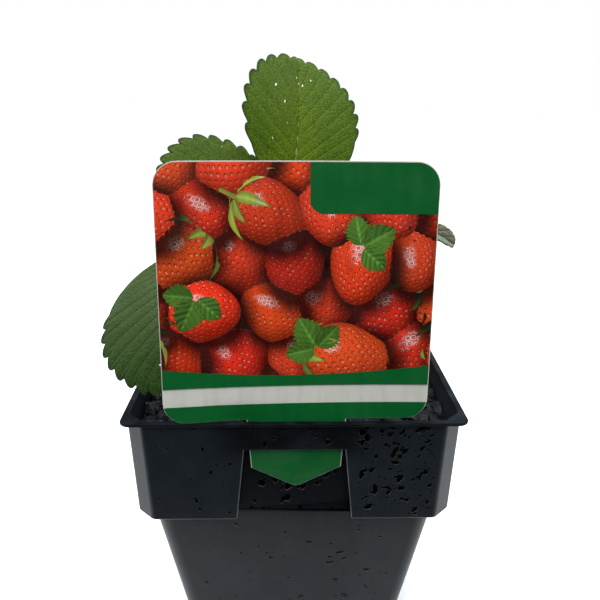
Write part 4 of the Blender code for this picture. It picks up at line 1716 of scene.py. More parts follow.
@dataclass
class BerryPicture:
    """A heap of strawberries and a few leaves as flat relief, coloured point by point as print."""

    low: float
    high: float
    spacing: Span = (14.6, 12.4)
    widths: Span = (15.0, 18.6)
    jitter: Span = (1.7, 1.5)
    depths: Span = (-2.5, 3.5)
    back_depth: float = -9.0
    grid: tuple[int, int] = (30, 42)
    pit_sides: int = 7
    seed: int = 21
    squash: float = 0.0040
    seeds_each: int = 400
    hidden: float = -3.5
    ambient: float = 0.44
    sun: float = 1.14
    light: Array = field(default_factory=lambda: unit(np.array([-0.30, 0.62, 0.72])))
    ripe: Colour = (0.86, 0.050, 0.014)
    dull: Colour = (0.24, 0.010, 0.006)
    seed_colour: Colour = (0.84, 0.38, 0.10)
    leafy: Colour = (0.21, 0.27, 0.045)
    glint: Colour = (1.0, 0.90, 0.86)
    shoulder: Colour = (0.75, 0.16, 0.05)
    sprig_colour: Colour = (0.060, 0.150, 0.020)
    shadow_shift: Place = (0.9, -1.3, 0.0)
    calyx_grid: tuple[int, int] = (8, 5)
    sprig_grid: tuple[int, int] = (37, 13)
    sprigs: tuple[Place, ...] = ((-24.5, 33.0, 205.0), (15.5, 45.0, 60.0), (5.0, 19.5, 330.0))
    sprig_size: float = 8.5
    berries: list[PrintedBerry] = field(default_factory=list)
    shape: Shape = field(default_factory=Shape)
    rng: Chance = field(init=False)

    def lay_out(self) -> None:
        """Heap the berries in loose rows, with a dark row behind the gaps."""
        rng = np.random.default_rng(self.seed)
        wide, tall = self.spacing
        beside, above = self.jitter
        rows = int((self.high - self.low) / tall) + 2
        for back in (True, False):
            for row in range(rows):
                for column in range(-3, 4):
                    stagger = 0.5 * wide * ((row + back) % 2)
                    s = column * wide + stagger + rng.uniform(-beside, beside)
                    t = self.high + 1.0 - row * tall + rng.uniform(-above, above) + 0.4 * tall * back
                    turn = rng.uniform(-math.pi, math.pi)
                    lean = math.radians(rng.uniform(-25, 60))
                    down = -abs(math.cos(turn)) * math.cos(lean) * rng.choice((1, 1, 1, -0.7))
                    tip = np.array([math.sin(turn) * math.cos(lean), down, math.sin(lean)])
                    width = rng.uniform(*self.widths)
                    depth = self.back_depth if back else rng.uniform(*self.depths)
                    tone = 0.2 if back else rng.uniform(0.72, 1.0)
                    length = width * rng.uniform(1.08, 1.28)
                    calyx = not back and rng.random() < 0.42
                    place = np.array([s, t, depth])
                    self.berries.append(PrintedBerry(place, width, length, unit(tip), tone, calyx))

    def clearance(self, points: Array, owner: PrintedBerry) -> Array:
        """How far points are outside the outlines of the berries that lie over them.

        Args:
            points: rows whose first two numbers are across and up.
            owner: the berry that they are on.

        Returns:
            One distance a point, less than 0 where the point is covered.
        """
        nearest = np.full(len(points), 99.0)
        for other in self.berries:
            if other is owner or other.centre[2] < owner.centre[2] + 0.3:
                continue
            offset = points[:, :2] - other.centre[:2]
            run = np.linalg.norm(other.tip[:2])
            axis = other.tip[:2] / max(run, 1e-6)
            a, b = 0.5 * other.width, 0.5 * other.width + 0.5 * (other.length - other.width) * run
            reach = np.hypot(offset @ np.array([-axis[1], axis[0]]) / a, offset @ axis / b) - 1
            nearest = np.minimum(nearest, reach * a)
        return nearest

    def shade(self, points: Array, normals: Array, tint: Array, gloss: float | Array,
              owner: PrintedBerry) -> Array:
        """The printed colour of points on the heap.

        Args:
            points: rows of across, up and towards the reader.
            normals: their outward directions.
            tint: their own colour.
            gloss: how white the highlights are.
            owner: the berry that they are on.

        Returns:
            Rows of red, green and blue.
        """
        lit = self.ambient + self.sun * np.clip(normals @ self.light, 0, 1)
        facing = 0.34 + 0.66 * np.clip(normals[:, 2], 0, 1) ** 0.7
        shadow = 0.06 + 0.94 * ease(-0.8, 4.6, self.clearance(points - self.shadow_shift, owner))
        half_way = unit(self.light + np.array([0.0, 0.0, 1.0]))
        shine = 2.4 * ease(0.962, 0.998, normals @ half_way) * gloss * shadow * owner.tone
        shine = np.minimum(shine, 1.0)
        body = tint * (lit * facing * shadow)[:, None]
        return body * (1 - shine[:, None]) + shine[:, None] * np.array(self.glint)

    def emit(self, points: Array, faces: Array, paint: Array, lift: float = 0.0) -> None:
        """Add points to the relief, pressed almost flat.

        Args:
            points: rows of across, up and towards the reader.
            faces: rows of indices.
            paint: a colour for each point.
            lift: how far above the heap's relief they lie.
        """
        flat = points.copy()
        flat[:, 2] = 0.06 + (points[:, 2] + 20.0) * self.squash + lift
        self.shape.add(flat, faces, paint=paint)

    def berry(self, berry: PrintedBerry) -> None:
        """Add one berry with its seeds and, where it has one, its calyx.

        Args:
            berry: its place and size.
        """
        rows, columns = self.grid
        polar, turn = np.meshgrid(np.linspace(0, math.pi, rows), np.linspace(0, 2 * math.pi, columns),
                                  indexing="ij")
        points, normals = berry.skin(polar, turn)
        points, normals = points.reshape(-1, 3), normals.reshape(-1, 3)
        faces = grid_faces(rows, columns)
        seen = (normals[:, 2] > 0) & (self.clearance(points, berry) > self.hidden)
        faces = faces[seen[faces].any(axis=1)]
        tint = np.array(self.dull) * (1 - berry.tone) + np.array(self.ripe) * berry.tone
        tint = tint * self.rng.uniform((0.80, 0.5, 0.6), (1.0, 1.5, 1.2))
        pale = ease(0.75, 0.25, polar.ravel())[:, None] * 0.5
        body = tint * (1 - pale) + pale * np.array(self.shoulder)
        self.emit(points, faces, self.shade(points, normals, body, 0.12, berry))
        self.pits(berry, tint)
        if berry.calyx:
            self.calyx(berry)

    def pits(self, berry: PrintedBerry, tint: Array) -> None:
        """Add the seeds of a berry, each in its dimple, on a spiral round it.

        Args:
            berry: the berry.
            tint: its colour.
        """
        grid = np.linspace(0.02, math.pi - 0.02, 400)
        points, _ = berry.skin(grid, 0 * grid)
        radius = np.linalg.norm(np.cross(points - berry.centre, berry.tip), axis=1)
        area = np.cumsum(radius * np.linalg.norm(np.gradient(points, axis=0), axis=1))
        number = np.arange(self.seeds_each) + 0.5
        polar = np.interp(number / self.seeds_each, area / area[-1], grid)
        turn = number * math.pi * (3 - math.sqrt(5))
        turn = turn + self.rng.normal(0, 0.02, len(turn))
        places, normals = berry.skin(polar, turn)
        ahead, _ = berry.skin(polar + 0.02, turn)
        whole = 0.8 * math.pi * berry.width * berry.length
        spread = 0.5 * math.sqrt(whole / self.seeds_each)
        seen = (normals[:, 2] > 0.1) & (self.clearance(places, berry) > self.hidden)
        for place, normal, forward in zip(places[seen], normals[seen], unit(ahead - places)[seen]):
            self.pit(berry, place, normal, forward, spread, tint)

    def pit(self, berry: PrintedBerry, place: Array, normal: Array, forward: Array, spread: float,
            tint: Array) -> None:
        """Add one dimple and its seed.

        Args:
            berry: the berry.
            place: the seed's place.
            normal: the skin's outward direction.
            forward: the way to the berry's tip.
            spread: the dimple's radius.
            tint: the berry's colour.
        """
        beside = np.cross(normal, forward)
        sides = self.pit_sides
        turn = np.linspace(0, 2 * math.pi, sides, endpoint=False)[:, None]
        radial = np.cos(turn) * forward + np.sin(turn) * beside
        points = np.vstack([place, place + 0.48 * spread * radial, place + spread * radial])
        tilted = unit(np.vstack([normal, normal - 0.75 * radial, normal + 0.10 * radial]))
        colour = np.outer(np.array([0.50, *[0.80] * sides, *[1.06] * sides]), tint)
        faces = []
        for a in range(1, sides + 1):
            b = a % sides + 1
            faces += [[0, a, b], [a, a + sides, b + sides, b]]
        gloss = np.array([0.05, *[0.22] * sides, *[1.0] * sides]) * self.rng.uniform(0.55, 1.0)
        self.emit(points, faces, self.shade(points, tilted, colour, gloss, berry), 0.002)
        size = 0.27 * spread * self.rng.uniform(0.7, 1.2)
        kite = place + size * np.array([-1.25 * forward, 0.75 * beside, forward, -0.75 * beside])
        seed = np.outer([0.75, 1.0, 1.15, 0.85], self.seed_colour) * (0.4 + 0.6 * berry.tone)
        facing = np.repeat(normal[None], len(kite), axis=0)
        self.emit(kite, [[0, 1, 2, 3]], self.shade(kite, facing, seed, 0.3, berry), 0.004)

    def calyx(self, berry: PrintedBerry) -> None:
        """Add the green rosette and the stub of stem on a berry's shoulder.

        Args:
            berry: the berry.
        """
        count = int(self.rng.integers(9, 13))
        rows, columns = self.calyx_grid
        along = np.linspace(0.0, 1.0, rows)[:, None]
        across = np.linspace(-1.0, 1.0, columns)[None]
        for i in range(count):
            turn = 2 * math.pi * (i + self.rng.uniform(-0.25, 0.25)) / count
            reach = self.rng.uniform(0.75, 1.15)
            width = 0.23 * np.sin(math.pi * (0.12 + 0.88 * along) ** 0.8)
            angle = turn + across * width / (0.35 + 1.3 * along)
            points, normals = berry.skin(0.12 + reach * along + 0 * across, angle)
            curl = self.rng.uniform(0.5, 3.2)
            lift = 0.5 + curl * along ** 2 + 0.5 * np.abs(across) * np.sin(math.pi * along)
            points = points + normals * lift[..., None]
            steps = np.gradient(points, axis=0), np.gradient(points, axis=1)
            facing = unit(np.cross(steps[0], steps[1]))
            facing = facing * np.where(facing[..., 2:] < 0, -1, 1)
            blade = np.array(self.leafy) * self.rng.uniform(0.6, 1.5)
            blade = blade + np.array([0.10, 0.07, 0.0]) * self.rng.random()
            vein = 1 + 0.5 * (np.abs(across) < 0.1) - 0.25 * (np.abs(across) > 0.9) + 0 * along
            tint = vein.reshape(-1, 1) * blade
            flat = points.reshape(-1, 3)
            self.emit(flat, grid_faces(rows, columns),
                      self.shade(flat, facing.reshape(-1, 3), tint, 0.15, berry), 0.006)
        start = berry.centre - berry.tip * berry.length * 0.5
        side = np.cross(berry.tip, [0.0, 0.0, 1.0])
        side = 0.55 * side / max(np.linalg.norm(side), 1e-6)
        bend = np.array([self.rng.uniform(-1, 1), self.rng.uniform(-1, 1), 0.6])
        stub = np.array([start - side, start + side, start - berry.tip * 4 + bend + 0.8 * side,
                         start - berry.tip * 4 + bend - 0.8 * side])
        colour = np.outer([0.7, 1.1, 1.3, 0.8], self.leafy)
        self.emit(stub, [[0, 1, 2, 3]], colour, 0.012)

    def sprig(self, s: float, t: float, turn: float) -> None:
        """Add a small leaf of three toothed parts that lies on the heap.

        Args:
            s: where its parts meet, across.
            t: where its parts meet, up.
            turn: the direction of its middle part, in degrees.
        """
        rows, columns = self.sprig_grid
        along, across = np.meshgrid(np.linspace(0.0, 1.0, rows), np.linspace(-1.0, 1.0, columns),
                                    indexing="ij")
        for part, size in ((-72.0, 0.86), (72.0, 0.86), (0.0, 1.0)):
            length = self.sprig_size * size
            jag = (np.abs(across) > 0.95) * (np.arange(rows)[:, None] % 4 - 1.5) * (along > 0.2)
            wide = 0.42 * length * np.sin(math.pi * along ** 0.85) ** 0.75 * (1 + 0.09 * jag)
            fold = 0.16 * length * np.abs(across) * np.sin(math.pi * along)
            ribs = 0.05 * length * np.abs(np.sin(math.pi * (5 * along - 1.6 * np.abs(across))))
            x, y = across * wide, length * (0.08 + along)
            z = 15.0 + fold + ribs - 2.0 * along ** 2
            angle = math.radians(turn + part)
            points = np.stack([s + x * math.cos(angle) + y * math.sin(angle),
                               t - x * math.sin(angle) + y * math.cos(angle), z], axis=-1)
            facing = unit(np.cross(np.gradient(points, axis=1), np.gradient(points, axis=0)) + 1e-9)
            facing = facing * np.where(facing[..., 2:] < 0, -1, 1)
            vein = 1 + 0.9 * (np.abs(across) < 0.1) + 0.35 * (ribs < 0.012 * length)
            leaf = np.array(self.sprig_colour) * self.rng.uniform(0.8, 1.2)
            lit = 0.30 + 1.0 * np.clip(facing @ self.light, 0, 1)
            self.emit(points.reshape(-1, 3), grid_faces(rows, columns),
                      (vein * lit).reshape(-1, 1) * leaf)

    def relief(self) -> Shape:
        """Make the whole heap, flat on the card.

        Returns:
            The heap.
        """
        self.lay_out()
        self.rng = np.random.default_rng(self.seed + 1)
        for berry in sorted(self.berries, key=lambda item: item.centre[2]):
            self.berry(berry)
        for sprig in self.sprigs:
            self.sprig(*sprig)
        return self.shape


@dataclass
class CardLabel:
    """The printed card: its outline, the way that it bends in the slot, and its print."""

    rim_height: float
    half: float = 33.55
    height: float = 65.1
    corner: float = 5.6
    thick: float = 0.5
    lift: float = 0.35
    centre_x: float = 0.4
    stem_top: float = 12.8
    stem_low: float = 11.9
    stem_shoulder: float = 14.5
    stem_depth: float = 20.5
    stripe: Span = (4.94, 9.79)
    bar: Span = (12.6, 15.0)
    patch_left: float = 3.0
    patch_low: float = 53.2
    patch_corner: float = 3.4
    margin: float = 0.24
    ink: float = 0.27
    pitch: float = 2.2
    cuts: Span = (-33.0, 33.1)
    bend_rise: float = 6.0
    bend_side: float = 10.0
    stem_twist: float = 0.02
    front: float = -42.75
    lean: Span = (0.0478, -0.09)
    curl: Place = (0.048, -0.0011, -0.0004)
    green: Colour = (0.0024, 0.102, 0.020)
    dark: Colour = (0.012, 0.003, 0.003)
    paper: Ink = Ink((0.58, 0.585, 0.53), 0.38)

    @property
    def top(self) -> float:
        """Height of the card's upper edge above the rim."""
        return self.lift + self.height

    def place(self, flat: Array) -> Array:
        """Bend flat points to the way that the card stands.

        Args:
            flat: rows of across, up from the rim, and out from the card's middle plane.

        Returns:
            Rows of x, y and z in the row frame.
        """
        s, t, out = flat.T
        above = np.clip(t / self.bend_rise, 0.0, 1.0)
        beside = np.clip((np.abs(s) - self.stem_top) / self.bend_side, 0.0, 1.0)
        card = np.maximum(above, beside)
        lean = np.where(t > 0, self.lean[0] * t, self.lean[1] * t)
        curl = self.curl[0] * s + self.curl[1] * s ** 2 + self.curl[2] * s * t
        y = self.front + lean + card * curl + (1 - card) * self.stem_twist * s
        return np.stack([self.centre_x + s, y - out, self.rim_height + t], axis=1)

    def arc(self, s: float, t: float, radius: float, start: float, end: float) -> list:
        """Points on an arc, with angles in degrees."""
        turn = np.radians(np.linspace(start, end, 9))
        return list(zip(s + radius * np.cos(turn), t + radius * np.sin(turn)))

    def outline(self, inset: float = 0.0) -> list:
        """The card's edge with its pointed stem, counter-clockwise.

        Args:
            inset: how far it is drawn in.

        Returns:
            Pairs of across and up.
        """
        half, top, low = self.half - inset, self.top - inset, self.lift + inset
        radius = self.corner - inset
        right = [(self.stem_top - inset, low), *self.arc(half - radius, low + radius, radius, -90, 0),
                 *self.arc(half - radius, top - radius, radius, 0, 90)]
        shoulder = self.stem_low - inset
        stem = [(0.0, -self.stem_depth + inset), (0.6, -self.stem_depth + inset + 0.12),
                (1.2, -self.stem_depth + inset + 0.35), (shoulder, -self.stem_shoulder + inset * 0.6)]
        side = stem + right
        return side + [(-s, t) for s, t in reversed(side) if s > 1e-6]

    def sheet(self, name: str, outline: list, out: float, keep: Span | None = None) -> Piece:
        """A thin sheet with a given outline, cut into a grid and bent like the card.

        Args:
            name: the object's name.
            outline: its corners, across and up.
            out: how far in front of the card's middle plane it lies.
            keep: the lowest and highest places kept, or None for all.

        Returns:
            The sheet.
        """
        mesh = bpy.data.meshes.new(name)
        low, high = min(t for _, t in outline), max(t for _, t in outline)
        with in_work(mesh) as bm:
            bm.faces.new([bm.verts.new(Vector((s, t, out)) * MM) for s, t in outline])
            for s in np.arange(*self.cuts, self.pitch):
                slice_off(bm, (s, 0, 0), (1, 0, 0), False)
            for t in np.arange(low, high, self.pitch):
                slice_off(bm, (0, t, 0), (0, 1, 0), False)
            if keep:
                slice_off(bm, (0, keep[0], 0), (0, -1, 0))
                slice_off(bm, (0, keep[1], 0), (0, 1, 0))
            flat = np.array([vertex.co for vertex in bm.verts]) / MM
            for vertex, place in zip(bm.verts, self.place(flat) * MM):
                vertex.co = place
        mesh.shade_smooth()
        return placed(name, mesh)

    def board(self) -> None:
        """Make the white card itself."""
        card = self.sheet("label_card", self.outline(), 0.0)
        thick = card.modifiers.new("thickness", "SOLIDIFY")
        thick.thickness = self.thick * MM
        thick.offset = 0.0
        bake(card)
        card.data.set_sharp_from_angle(angle=math.radians(40))
        card.data.materials.append(self.paper.material("card_white"))
        dress(card, "label", "label")

    def picture(self) -> None:
        """Make the printed heap of berries, trimmed to the card."""
        half = self.half - self.margin
        heap = BerryPicture(self.bar[0], self.top).relief()
        item = heap.build("berry_print", Ink().material("berry_ink"))
        top, radius = self.top - self.margin, self.corner - self.margin
        planes = [((half, 0), (1, 0)), ((-half, 0), (-1, 0)), ((0, top), (0, 1)),
                  ((0, self.bar[0] - 1), (0, -1))]
        for side in (-1, 1):
            middle = np.array([side * (half - radius), top - radius])
            for turn in np.radians(np.arange(10, 90, 11.25)):
                way = np.array([side * math.cos(turn), math.sin(turn)])
                planes.append((middle + radius * way, way))
        with in_work(item.data) as bm:
            for place, way in planes:
                slice_off(bm, (*place, 0), (*way, 0))
        flat = np.zeros(len(item.data.vertices) * 3)
        item.data.vertices.foreach_get("co", flat)
        flat = flat.reshape(-1, 3) / MM + (0, 0, self.thick / 2)
        item.data.vertices.foreach_set("co", (self.place(flat) * MM).ravel())
        item.data.update()
        dress(item, "label")

    def panels(self) -> None:
        """Make the plain printed areas: picture ground, green bars and green corner."""
        front = self.thick / 2
        inner = self.outline(self.margin)
        half, top = self.half - self.margin, self.top - self.margin
        radius = self.corner - self.margin
        ground = self.sheet("picture_ground", inner, front + 0.03, (self.bar[0] - 1, self.top))
        ground.data.materials.append(Ink(self.dark).material("ink_dark"))
        dress(ground, "label")
        across = np.linspace(half, -half, 31)
        curve = self.bar[0] + (self.bar[1] - self.bar[0]) * (across / half) ** 2
        band = [(-half, self.stripe[1]), (half, self.stripe[1]), *zip(across, curve)]
        corner = [(half, self.patch_low), *self.arc(half - radius, top - radius, radius, 0, 90),
                  (self.patch_left, top), (self.patch_left, self.patch_low + self.patch_corner),
                  *self.arc(self.patch_left + self.patch_corner, self.patch_low + self.patch_corner,
                            self.patch_corner, 180, 270)]
        ink = Ink(self.green).material("ink_green")
        for name, outline, keep in (("green_foot", inner, (-self.stem_depth, self.stripe[0])),
                                    ("green_band", band, None), ("green_corner", corner, None)):
            item = self.sheet(name, outline, front + self.ink, keep)
            item.data.materials.append(ink)
            dress(item, "label")

    def build(self) -> None:
        """Make the card and its print."""
        self.board()
        self.picture()
        self.panels()


# ---------------- water

@dataclass(frozen=True)
class Spray:
    """Beads tried at random over part of a wall, which is told in quarter turns from the front."""

    wall: int
    count: int
    span: Span
    depths: Span
    sizes: Span


@dataclass
class Beads:
    """Water: beads on the pot's walls and drops on the leaves."""

    pot: NurseryPot
    rng: Chance = field(default_factory=lambda: np.random.default_rng(5))
    sides: int = 14
    dome: tuple[Span, ...] = ((1.0, -0.04), (0.96, 0.07), (0.85, 0.14), (0.66, 0.20), (0.36, 0.25),
                              (0.0, 0.27))
    beside_slot: Span = (12.0, 16.5)
    bead_lengths: Span = (1.0, 1.9)
    drop_sizes: Span = (0.10, 0.34)
    drop_lengths: Span = (1.2, 2.6)

    def bead(self, shape: Shape, place: Array, normal: Array, radius: float,
             long: float = 1.0) -> None:
        """Add one uneven dome of water.

        Args:
            shape: what it is added to.
            place: its middle on the surface.
            normal: the surface's outward direction.
            radius: its size.
            long: how much longer than wide it is.
        """
        across, upward = tangent_frame(normal[None])
        turn = np.linspace(0, 2 * math.pi, self.sides, endpoint=False)
        wobble = 1 + 0.16 * np.sin(2 * turn + self.rng.uniform(0, 6))
        wobble = wobble + 0.12 * np.sin(3 * turn + self.rng.uniform(0, 6))
        lean = self.rng.normal(-0.5, 0.5)
        x = np.cos(turn) * wobble
        y = np.sin(turn) * wobble * long
        x, y = x * math.cos(lean) - y * math.sin(lean), x * math.sin(lean) + y * math.cos(lean)
        layers = []
        for swell, rise in self.dome:
            layers.append(place + radius * (swell * (x[:, None] * across + y[:, None] * upward)
                                            + rise * normal))
        shape.add(np.concatenate(layers), grid_faces(len(layers), len(turn), True))

    def wall(self, x: float, depth: float, turn: int) -> tuple[Array, Array]:
        """A point on a wall of the pot and the wall's outward direction.

        Args:
            x: across the wall, to the right of someone who faces it.
            depth: below the rim.
            turn: which wall, in quarter turns from the front.

        Returns:
            Both, as rows of x, y and z.
        """
        pot = self.pot
        if depth > pot.collar_depth:
            out, slope = pot.body_half(depth), pot.body_taper
        elif turn % 2 == 0 and abs(x) < pot.slot_half + 1 and depth > pot.band_depth:
            out, slope = pot.slot_face(depth), pot.collar_taper
        else:
            out, slope = pot.collar_half(depth), pot.collar_taper
        place, normal = np.array([x, -out, pot.height - depth]), unit(np.array([0.0, -1.0, -slope]))
        return spun(place, turn * math.pi / 2), spun(normal, turn * math.pi / 2)

    def clear(self, x: float, depth: float, turn: int) -> bool:
        """Whether a place on a wall is flat, away from the step, the slot and the corners.

        Args:
            x: across the wall.
            depth: below the rim.
            turn: which wall, in quarter turns from the front.

        Returns:
            True if a bead can lie there.
        """
        pot = self.pot
        if depth > pot.collar_depth:
            return depth > pot.collar_depth + 1.2 and abs(x) < pot.body_half(depth) - 6
        if turn % 2:
            return depth < pot.collar_depth - 1.2
        near, far = self.beside_slot
        at_side = near < abs(x) < far and depth > pot.band_depth - 1.5
        at_tongue = abs(x) <= near and abs(depth - pot.band_depth) < 1.0
        return depth < pot.collar_depth - 1.2 and not at_side and not at_tongue

    def spray(self, shape: Shape, spray: Spray) -> None:
        """Add the beads of one spray.

        Args:
            shape: what they are added to.
            spray: where they are, how many and how large.
        """
        low, high = spray.sizes
        for _ in range(spray.count):
            x, depth = self.rng.uniform(*spray.span), self.rng.uniform(*spray.depths)
            size = low + (high - low) * self.rng.random() ** 3.5
            if self.clear(x, depth, spray.wall):
                self.bead(shape, *self.wall(x, depth, spray.wall), size,
                          self.rng.uniform(*self.bead_lengths))

    def sprays(self) -> list[Spray]:
        """Where beads are: in six areas of the front, and over the collar and the body elsewhere.

        Returns:
            The sprays, in the order of their draws.
        """
        collar, body = (1.6, 28.8), (31.5, 84.0)
        sprays = [
            Spray(0, 150, (16.5, 37.0), collar, (0.20, 0.95)),
            Spray(0, 45, (-12.0, 37.0), (1.3, 7.5), (0.20, 0.85)),
            Spray(0, 26, (-37.0, -16.5), collar, (0.16, 0.5)),
            Spray(0, 46, (-12.0, 12.0), (17.0, 29.0), (0.22, 1.05)),
            Spray(0, 60, (-4.0, 34.0), body, (0.22, 0.95)),
            Spray(0, 30, (-34.0, 4.0), body, (0.20, 0.7)),
        ]
        for wall in (1, 2, 3):
            sprays.append(Spray(wall, 70, (-37.0, 37.0), collar, (0.2, 0.9)))
            sprays.append(Spray(wall, 60, (-34.0, 34.0), body, (0.2, 0.9)))
        return sprays

    def on_leaf(self, shape: Shape, leaf: Leaf, number: int, count: int) -> None:
        """Add small drops on a leaflet's upper face.

        Args:
            shape: what they are added to.
            leaf: the leaf.
            number: which of its leaflets.
            count: how many drops.
        """
        leaflet = leaf.blades[number]
        share = self.rng.uniform(0.15, 0.95, count)
        reach = self.rng.uniform(0.1, 0.85, count)
        edge, _ = leaflet.outline(share)
        side = self.rng.choice((-1.0, 1.0), count)
        x = side * edge[:, 0] * reach
        y = leaflet.rib(share) * (1 - reach) + edge[:, 1] * reach
        here = leaflet.place(x, y, np.full(count, 0.30))
        above = leaflet.place(x, y, np.full(count, 1.0))
        for place, normal in zip(here, unit(above - here)):
            self.bead(shape, place + (0, 0, leaf.rim_height), normal,
                      self.rng.uniform(*self.drop_sizes), self.rng.uniform(*self.drop_lengths))

    def build(self, leaves: list[Leaf], water: Water) -> None:
        """Make the beads on the pot and the drops on the leaves.

        Args:
            leaves: the plant's leaves, in the order that plant() gives.
            water: the finish.
        """
        on_pot, on_leaves = Shape(), Shape()
        for spray in self.sprays():
            self.spray(on_pot, spray)
        for number, blade, count in ((0, 0, 15), (0, 1, 7), (1, 0, 7), (2, 0, 7)):
            self.on_leaf(on_leaves, leaves[number], blade, count)
        dress(on_pot.build("water_beads", water.beads()), "pot")
        dress(on_leaves.build("leaf_drops", water.drops()), "leaf")


# ---------------- studio

@dataclass
class Studio:
    """Floor, light and camera: the eye is in millimetres, the floor and the lights in metres."""

    eye: Place = (-2.4337, -198.1738, 170.92)
    pitch: float = 17.982
    yaw: float = 1.3
    roll: float = 0.418
    lens: float = 40.3812
    floor_half: float = 4.0
    floor_front: float = -0.085
    sky: Span = (0.22, 1.65)
    below: float = 0.05

    def floor(self) -> None:
        """A plain white table, with its front edge close to the pot."""
        mesh = bpy.data.meshes.new("floor")
        half, front = self.floor_half, self.floor_front
        mesh.from_pydata([(-half, front, 0), (half, front, 0), (half, half, 0), (-half, half, 0)], [],
                         [(0, 1, 2, 3)])
        mesh.materials.append(Graph("floor_white", Base_Color=(0.93, 0.93, 0.93), Roughness=0.8,
                                    Specular_IOR_Level=0.2).material)
        placed("floor", mesh)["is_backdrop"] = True

    def world(self) -> None:
        """Soft light from all round, dim in front and below, with a white backdrop to look at."""
        world = bpy.data.worlds.new("studio")
        world.use_nodes = True
        g = Nodes(world.node_tree)
        nodes = world.node_tree.nodes
        way = g.parts(nodes.new("ShaderNodeTexCoord").outputs["Generated"])
        sky, backdrop = nodes["Background"], nodes.new("ShaderNodeBackground")
        g.feed(sky.inputs["Color"], (0.92, 0.965, 1.0))
        g.feed(sky.inputs["Strength"], g.times(g.step(way["y"], -0.6, 0.1, *self.sky),
                                               g.step(way["z"], -0.06, 0.04, self.below, 1.0)))
        g.feed(backdrop.inputs["Color"], (1.0, 1.0, 1.0))
        seen = nodes.new("ShaderNodeLightPath").outputs["Is Camera Ray"]
        mix = nodes.new("ShaderNodeMixShader")
        for entry, value in zip(mix.inputs, (seen, sky.outputs[0], backdrop.outputs[0])):
            g.feed(entry, value)
        g.feed(nodes["World Output"].inputs[0], mix.outputs[0])
        bpy.context.scene.world = world

    def softbox(self, name: str, place: Place, aim: Place, size: float, watts: float) -> None:
        """A square area light.

        Args:
            name: the light's name.
            place: its middle, in metres.
            aim: the point that it faces, in metres.
            size: the length of its sides, in metres.
            watts: its power.
        """
        light = bpy.data.lights.new(name, "AREA")
        light.size = size
        light.energy = watts
        item = placed(name, light)
        item.location = place
        item.rotation_euler = (Vector(aim) - Vector(place)).to_track_quat("-Z", "Y").to_euler()

    def camera(self) -> None:
        """The camera, at the height and tilt of someone who looks down at the label."""
        pitch, yaw, roll = (math.radians(a) for a in (self.pitch, self.yaw, self.roll))
        camera = bpy.data.cameras.new("camera")
        camera.sensor_width = 36.0
        camera.lens = self.lens
        camera.clip_start = 0.01
        item = placed("camera", camera)
        item.matrix_world = (Matrix.Translation(Vector(self.eye) * MM) @ Matrix.Rotation(-yaw, 4, "Z")
                             @ Matrix.Rotation(math.pi / 2 - pitch, 4, "X")
                             @ Matrix.Rotation(roll, 4, "Z"))
        bpy.context.scene.camera = item

    def build(self) -> None:
        """Set up everything."""
        self.floor()
        self.world()
        self.softbox("top", (-0.15, 0.15, 0.95), (0.0, 0.0, 0.1), 0.7, 7.0)
        self.softbox("front", (0.05, -0.55, 0.80), (0.0, 0.0, 0.1), 0.6, 8.0)
        bpy.context.scene.view_settings.view_transform = "Standard"
        self.camera()


# ---------------- the plant

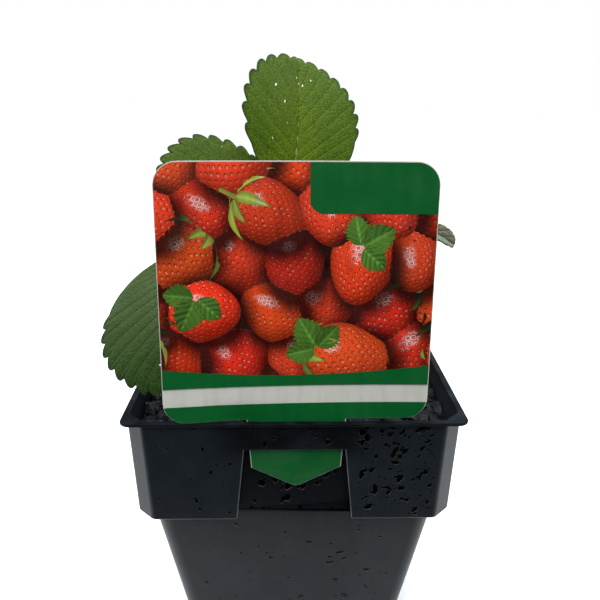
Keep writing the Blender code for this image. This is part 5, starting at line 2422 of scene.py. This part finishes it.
def plant(mix: PottingMix) -> list[Leaf]:
    """The plant's leaves: the upright one, the left one, the low back one and the young one.

    Args:
        mix: the soil that the leaves stand in.

    Returns:
        The leaves, in the order in which they are built.
    """
    mature = LeafSkin()
    # the left leaf's sheen is painted into its bluish grey colours, and its tip is painted darker as
    # shade
    painted_sheen_skin = LeafSkin(deep=(0.034, 0.060, 0.020), fresh=(0.066, 0.098, 0.042),
                     vein=(0.075, 0.125, 0.026), tip=(0.006, 0.029, 0.0006), tip_share=0.95,
                     ribs=0.22, gloss=0.06)
    young = LeafSkin(deep=(0.088, 0.100, 0.060), fresh=(0.155, 0.165, 0.105), vein=(0.30, 0.33, 0.22),
                     bloom=0.4)
    tall = Leaf(
        "leaf_tall", 95.0, [(0.6, 9.5, 8.0), (0.4, 6.5, 28.0), (-0.4, 4.2, 46.0)],
        [Leaflet((-0.85, 4.0, 50.3), (0.151, 0.346, 0.926), (0.406, -0.876, 0.261), 46.5, 37.2,
                 fold=0.215, cup=0.01, arch=0.47, fullness=1.03, roundness=1.18, teeth=7,
                 plain=0.385, bite=0.042, pleat=0.20, uneven=0.075),
         # this blade is painted darker as shade
         Leaflet((-4.0, 2.0, 52.8), (-0.965, -0.15, 0.213), (0.26, -0.597, 0.759), 34.4, 28.4,
                 fold=0.14, cup=0.09, arch=0.115, fullness=0.66, roundness=1.19, plain=0.2,
                 bite=0.063, pleat=0.14, age=0.28),
         Leaflet((2.6, 5.5, 50.5), (0.83, 0.5, -0.22), (0.25, -0.1, 0.96), 36.0, 31.0,
                 fold=0.14, cup=0.09, arch=0.55, fullness=0.72, roundness=1.12)],
        mature)
    left = Leaf(
        "leaf_left", 205.0, [(-10.5, -1.5, 6.0), (-18.5, -4.5, 23.0), (-28.2, -8.2, 35.9)],
        [Leaflet((-32.7, -11.0, 36.3), (-0.084, -0.701, -0.709), (-0.217, -0.681, 0.699), 39.6, 41.7,
                 fold=0.005, cup=0.26, arch=0.44, fullness=0.785, roundness=0.994, plain=0.45,
                 bite=0.046),
         Leaflet((-26.0, -8.8, 36.9), (0.9, -0.12, -0.42), (0.3, -0.5, 0.81), 32.0, 29.0,
                 fold=0.05, cup=0.15, arch=0.5, roundness=1.08),
         Leaflet((-28.9, -5.8, 36.7), (0.07, 0.95, -0.28), (-0.2, 0.25, 0.93), 33.0, 30.0,
                 fold=0.05, cup=0.15, arch=0.6, roundness=1.08)],
        painted_sheen_skin)
    back = Leaf(
        "leaf_back", 35.0, [(9.0, 10.0, 2.0), (13.5, 12.5, 13.0), (18.2, 14.2, 21.8)],
        [Leaflet((22.0, 17.0, 24.0), (0.45, 0.86, 0.05), (-0.05, -0.1, 1.0), 36.0, 34.0,
                 fold=0.12, arch=0.7, teeth=9),
         Leaflet((19.0, 16.5, 24.2), (-0.62, 0.78, 0.02), (0.0, -0.1, 1.0), 29.0, 26.0,
                 fold=0.12, arch=0.5),
         Leaflet((22.0, 14.5, 23.6), (0.86, -0.18, -0.35), (0.3, -0.1, 0.95), 24.0, 23.0,
                 fold=0.12, arch=0.6)],
        mature)
    small = Leaf(
        "leaf_young", -30.0, [(12.5, -1.0, 6.0), (22.0, -3.5, 24.0), (31.0, -5.5, 40.0)],
        [Leaflet((36.2, -6.0, 43.3), (0.93, -0.25, -0.3), (0.3, -0.8, 0.5), 12.4, 5.8,
                 fold=0.65, cup=0.0, arch=0.6, teeth=4, bite=0.034, pleat=0.5),
         Leaflet((34.5, -4.9, 42.2), (0.2, 0.5, -0.80), (0.5, 0.3, 0.75), 9.0, 6.4,
                 fold=0.8, cup=0.0, arch=0.3, teeth=5, pleat=0.5),
         Leaflet((34.2, -7.2, 42.0), (0.10, -0.48, -0.85), (0.5, -0.5, 0.75), 9.0, 6.4,
                 fold=0.8, cup=0.0, arch=0.3, teeth=5, pleat=0.5)],
        young, "young_leaf", 9.0, 1.5)
    return [replace(leaf, crown=mix.crown, rim_height=mix.pot.height)
            for leaf in (tall, left, back, small)]


def corners() -> list[list[float]]:
    """The shown object's lowest and highest corner, as plain lists."""
    return [list(corner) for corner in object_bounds()]


def main() -> None:
    """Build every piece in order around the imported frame."""
    logging.basicConfig(level=logging.INFO, format="%(message)s")
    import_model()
    low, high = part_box("pot")
    pot = NurseryPot(height=(high.z - low.z) / MM, half=(high.x - low.x) / 2 / MM)
    mix = PottingMix(pot)
    pot.build(PotPlastic())
    mix.build()
    Crown(mix.crown, pot.height - mix.depth).build(CrownBark())
    leaves = plant(mix)
    for leaf in leaves:
        leaf.build()
    CardLabel(pot.height).build()
    Beads(pot).build(leaves, Water())
    Studio().build()


if __name__ == "__main__":
    main()
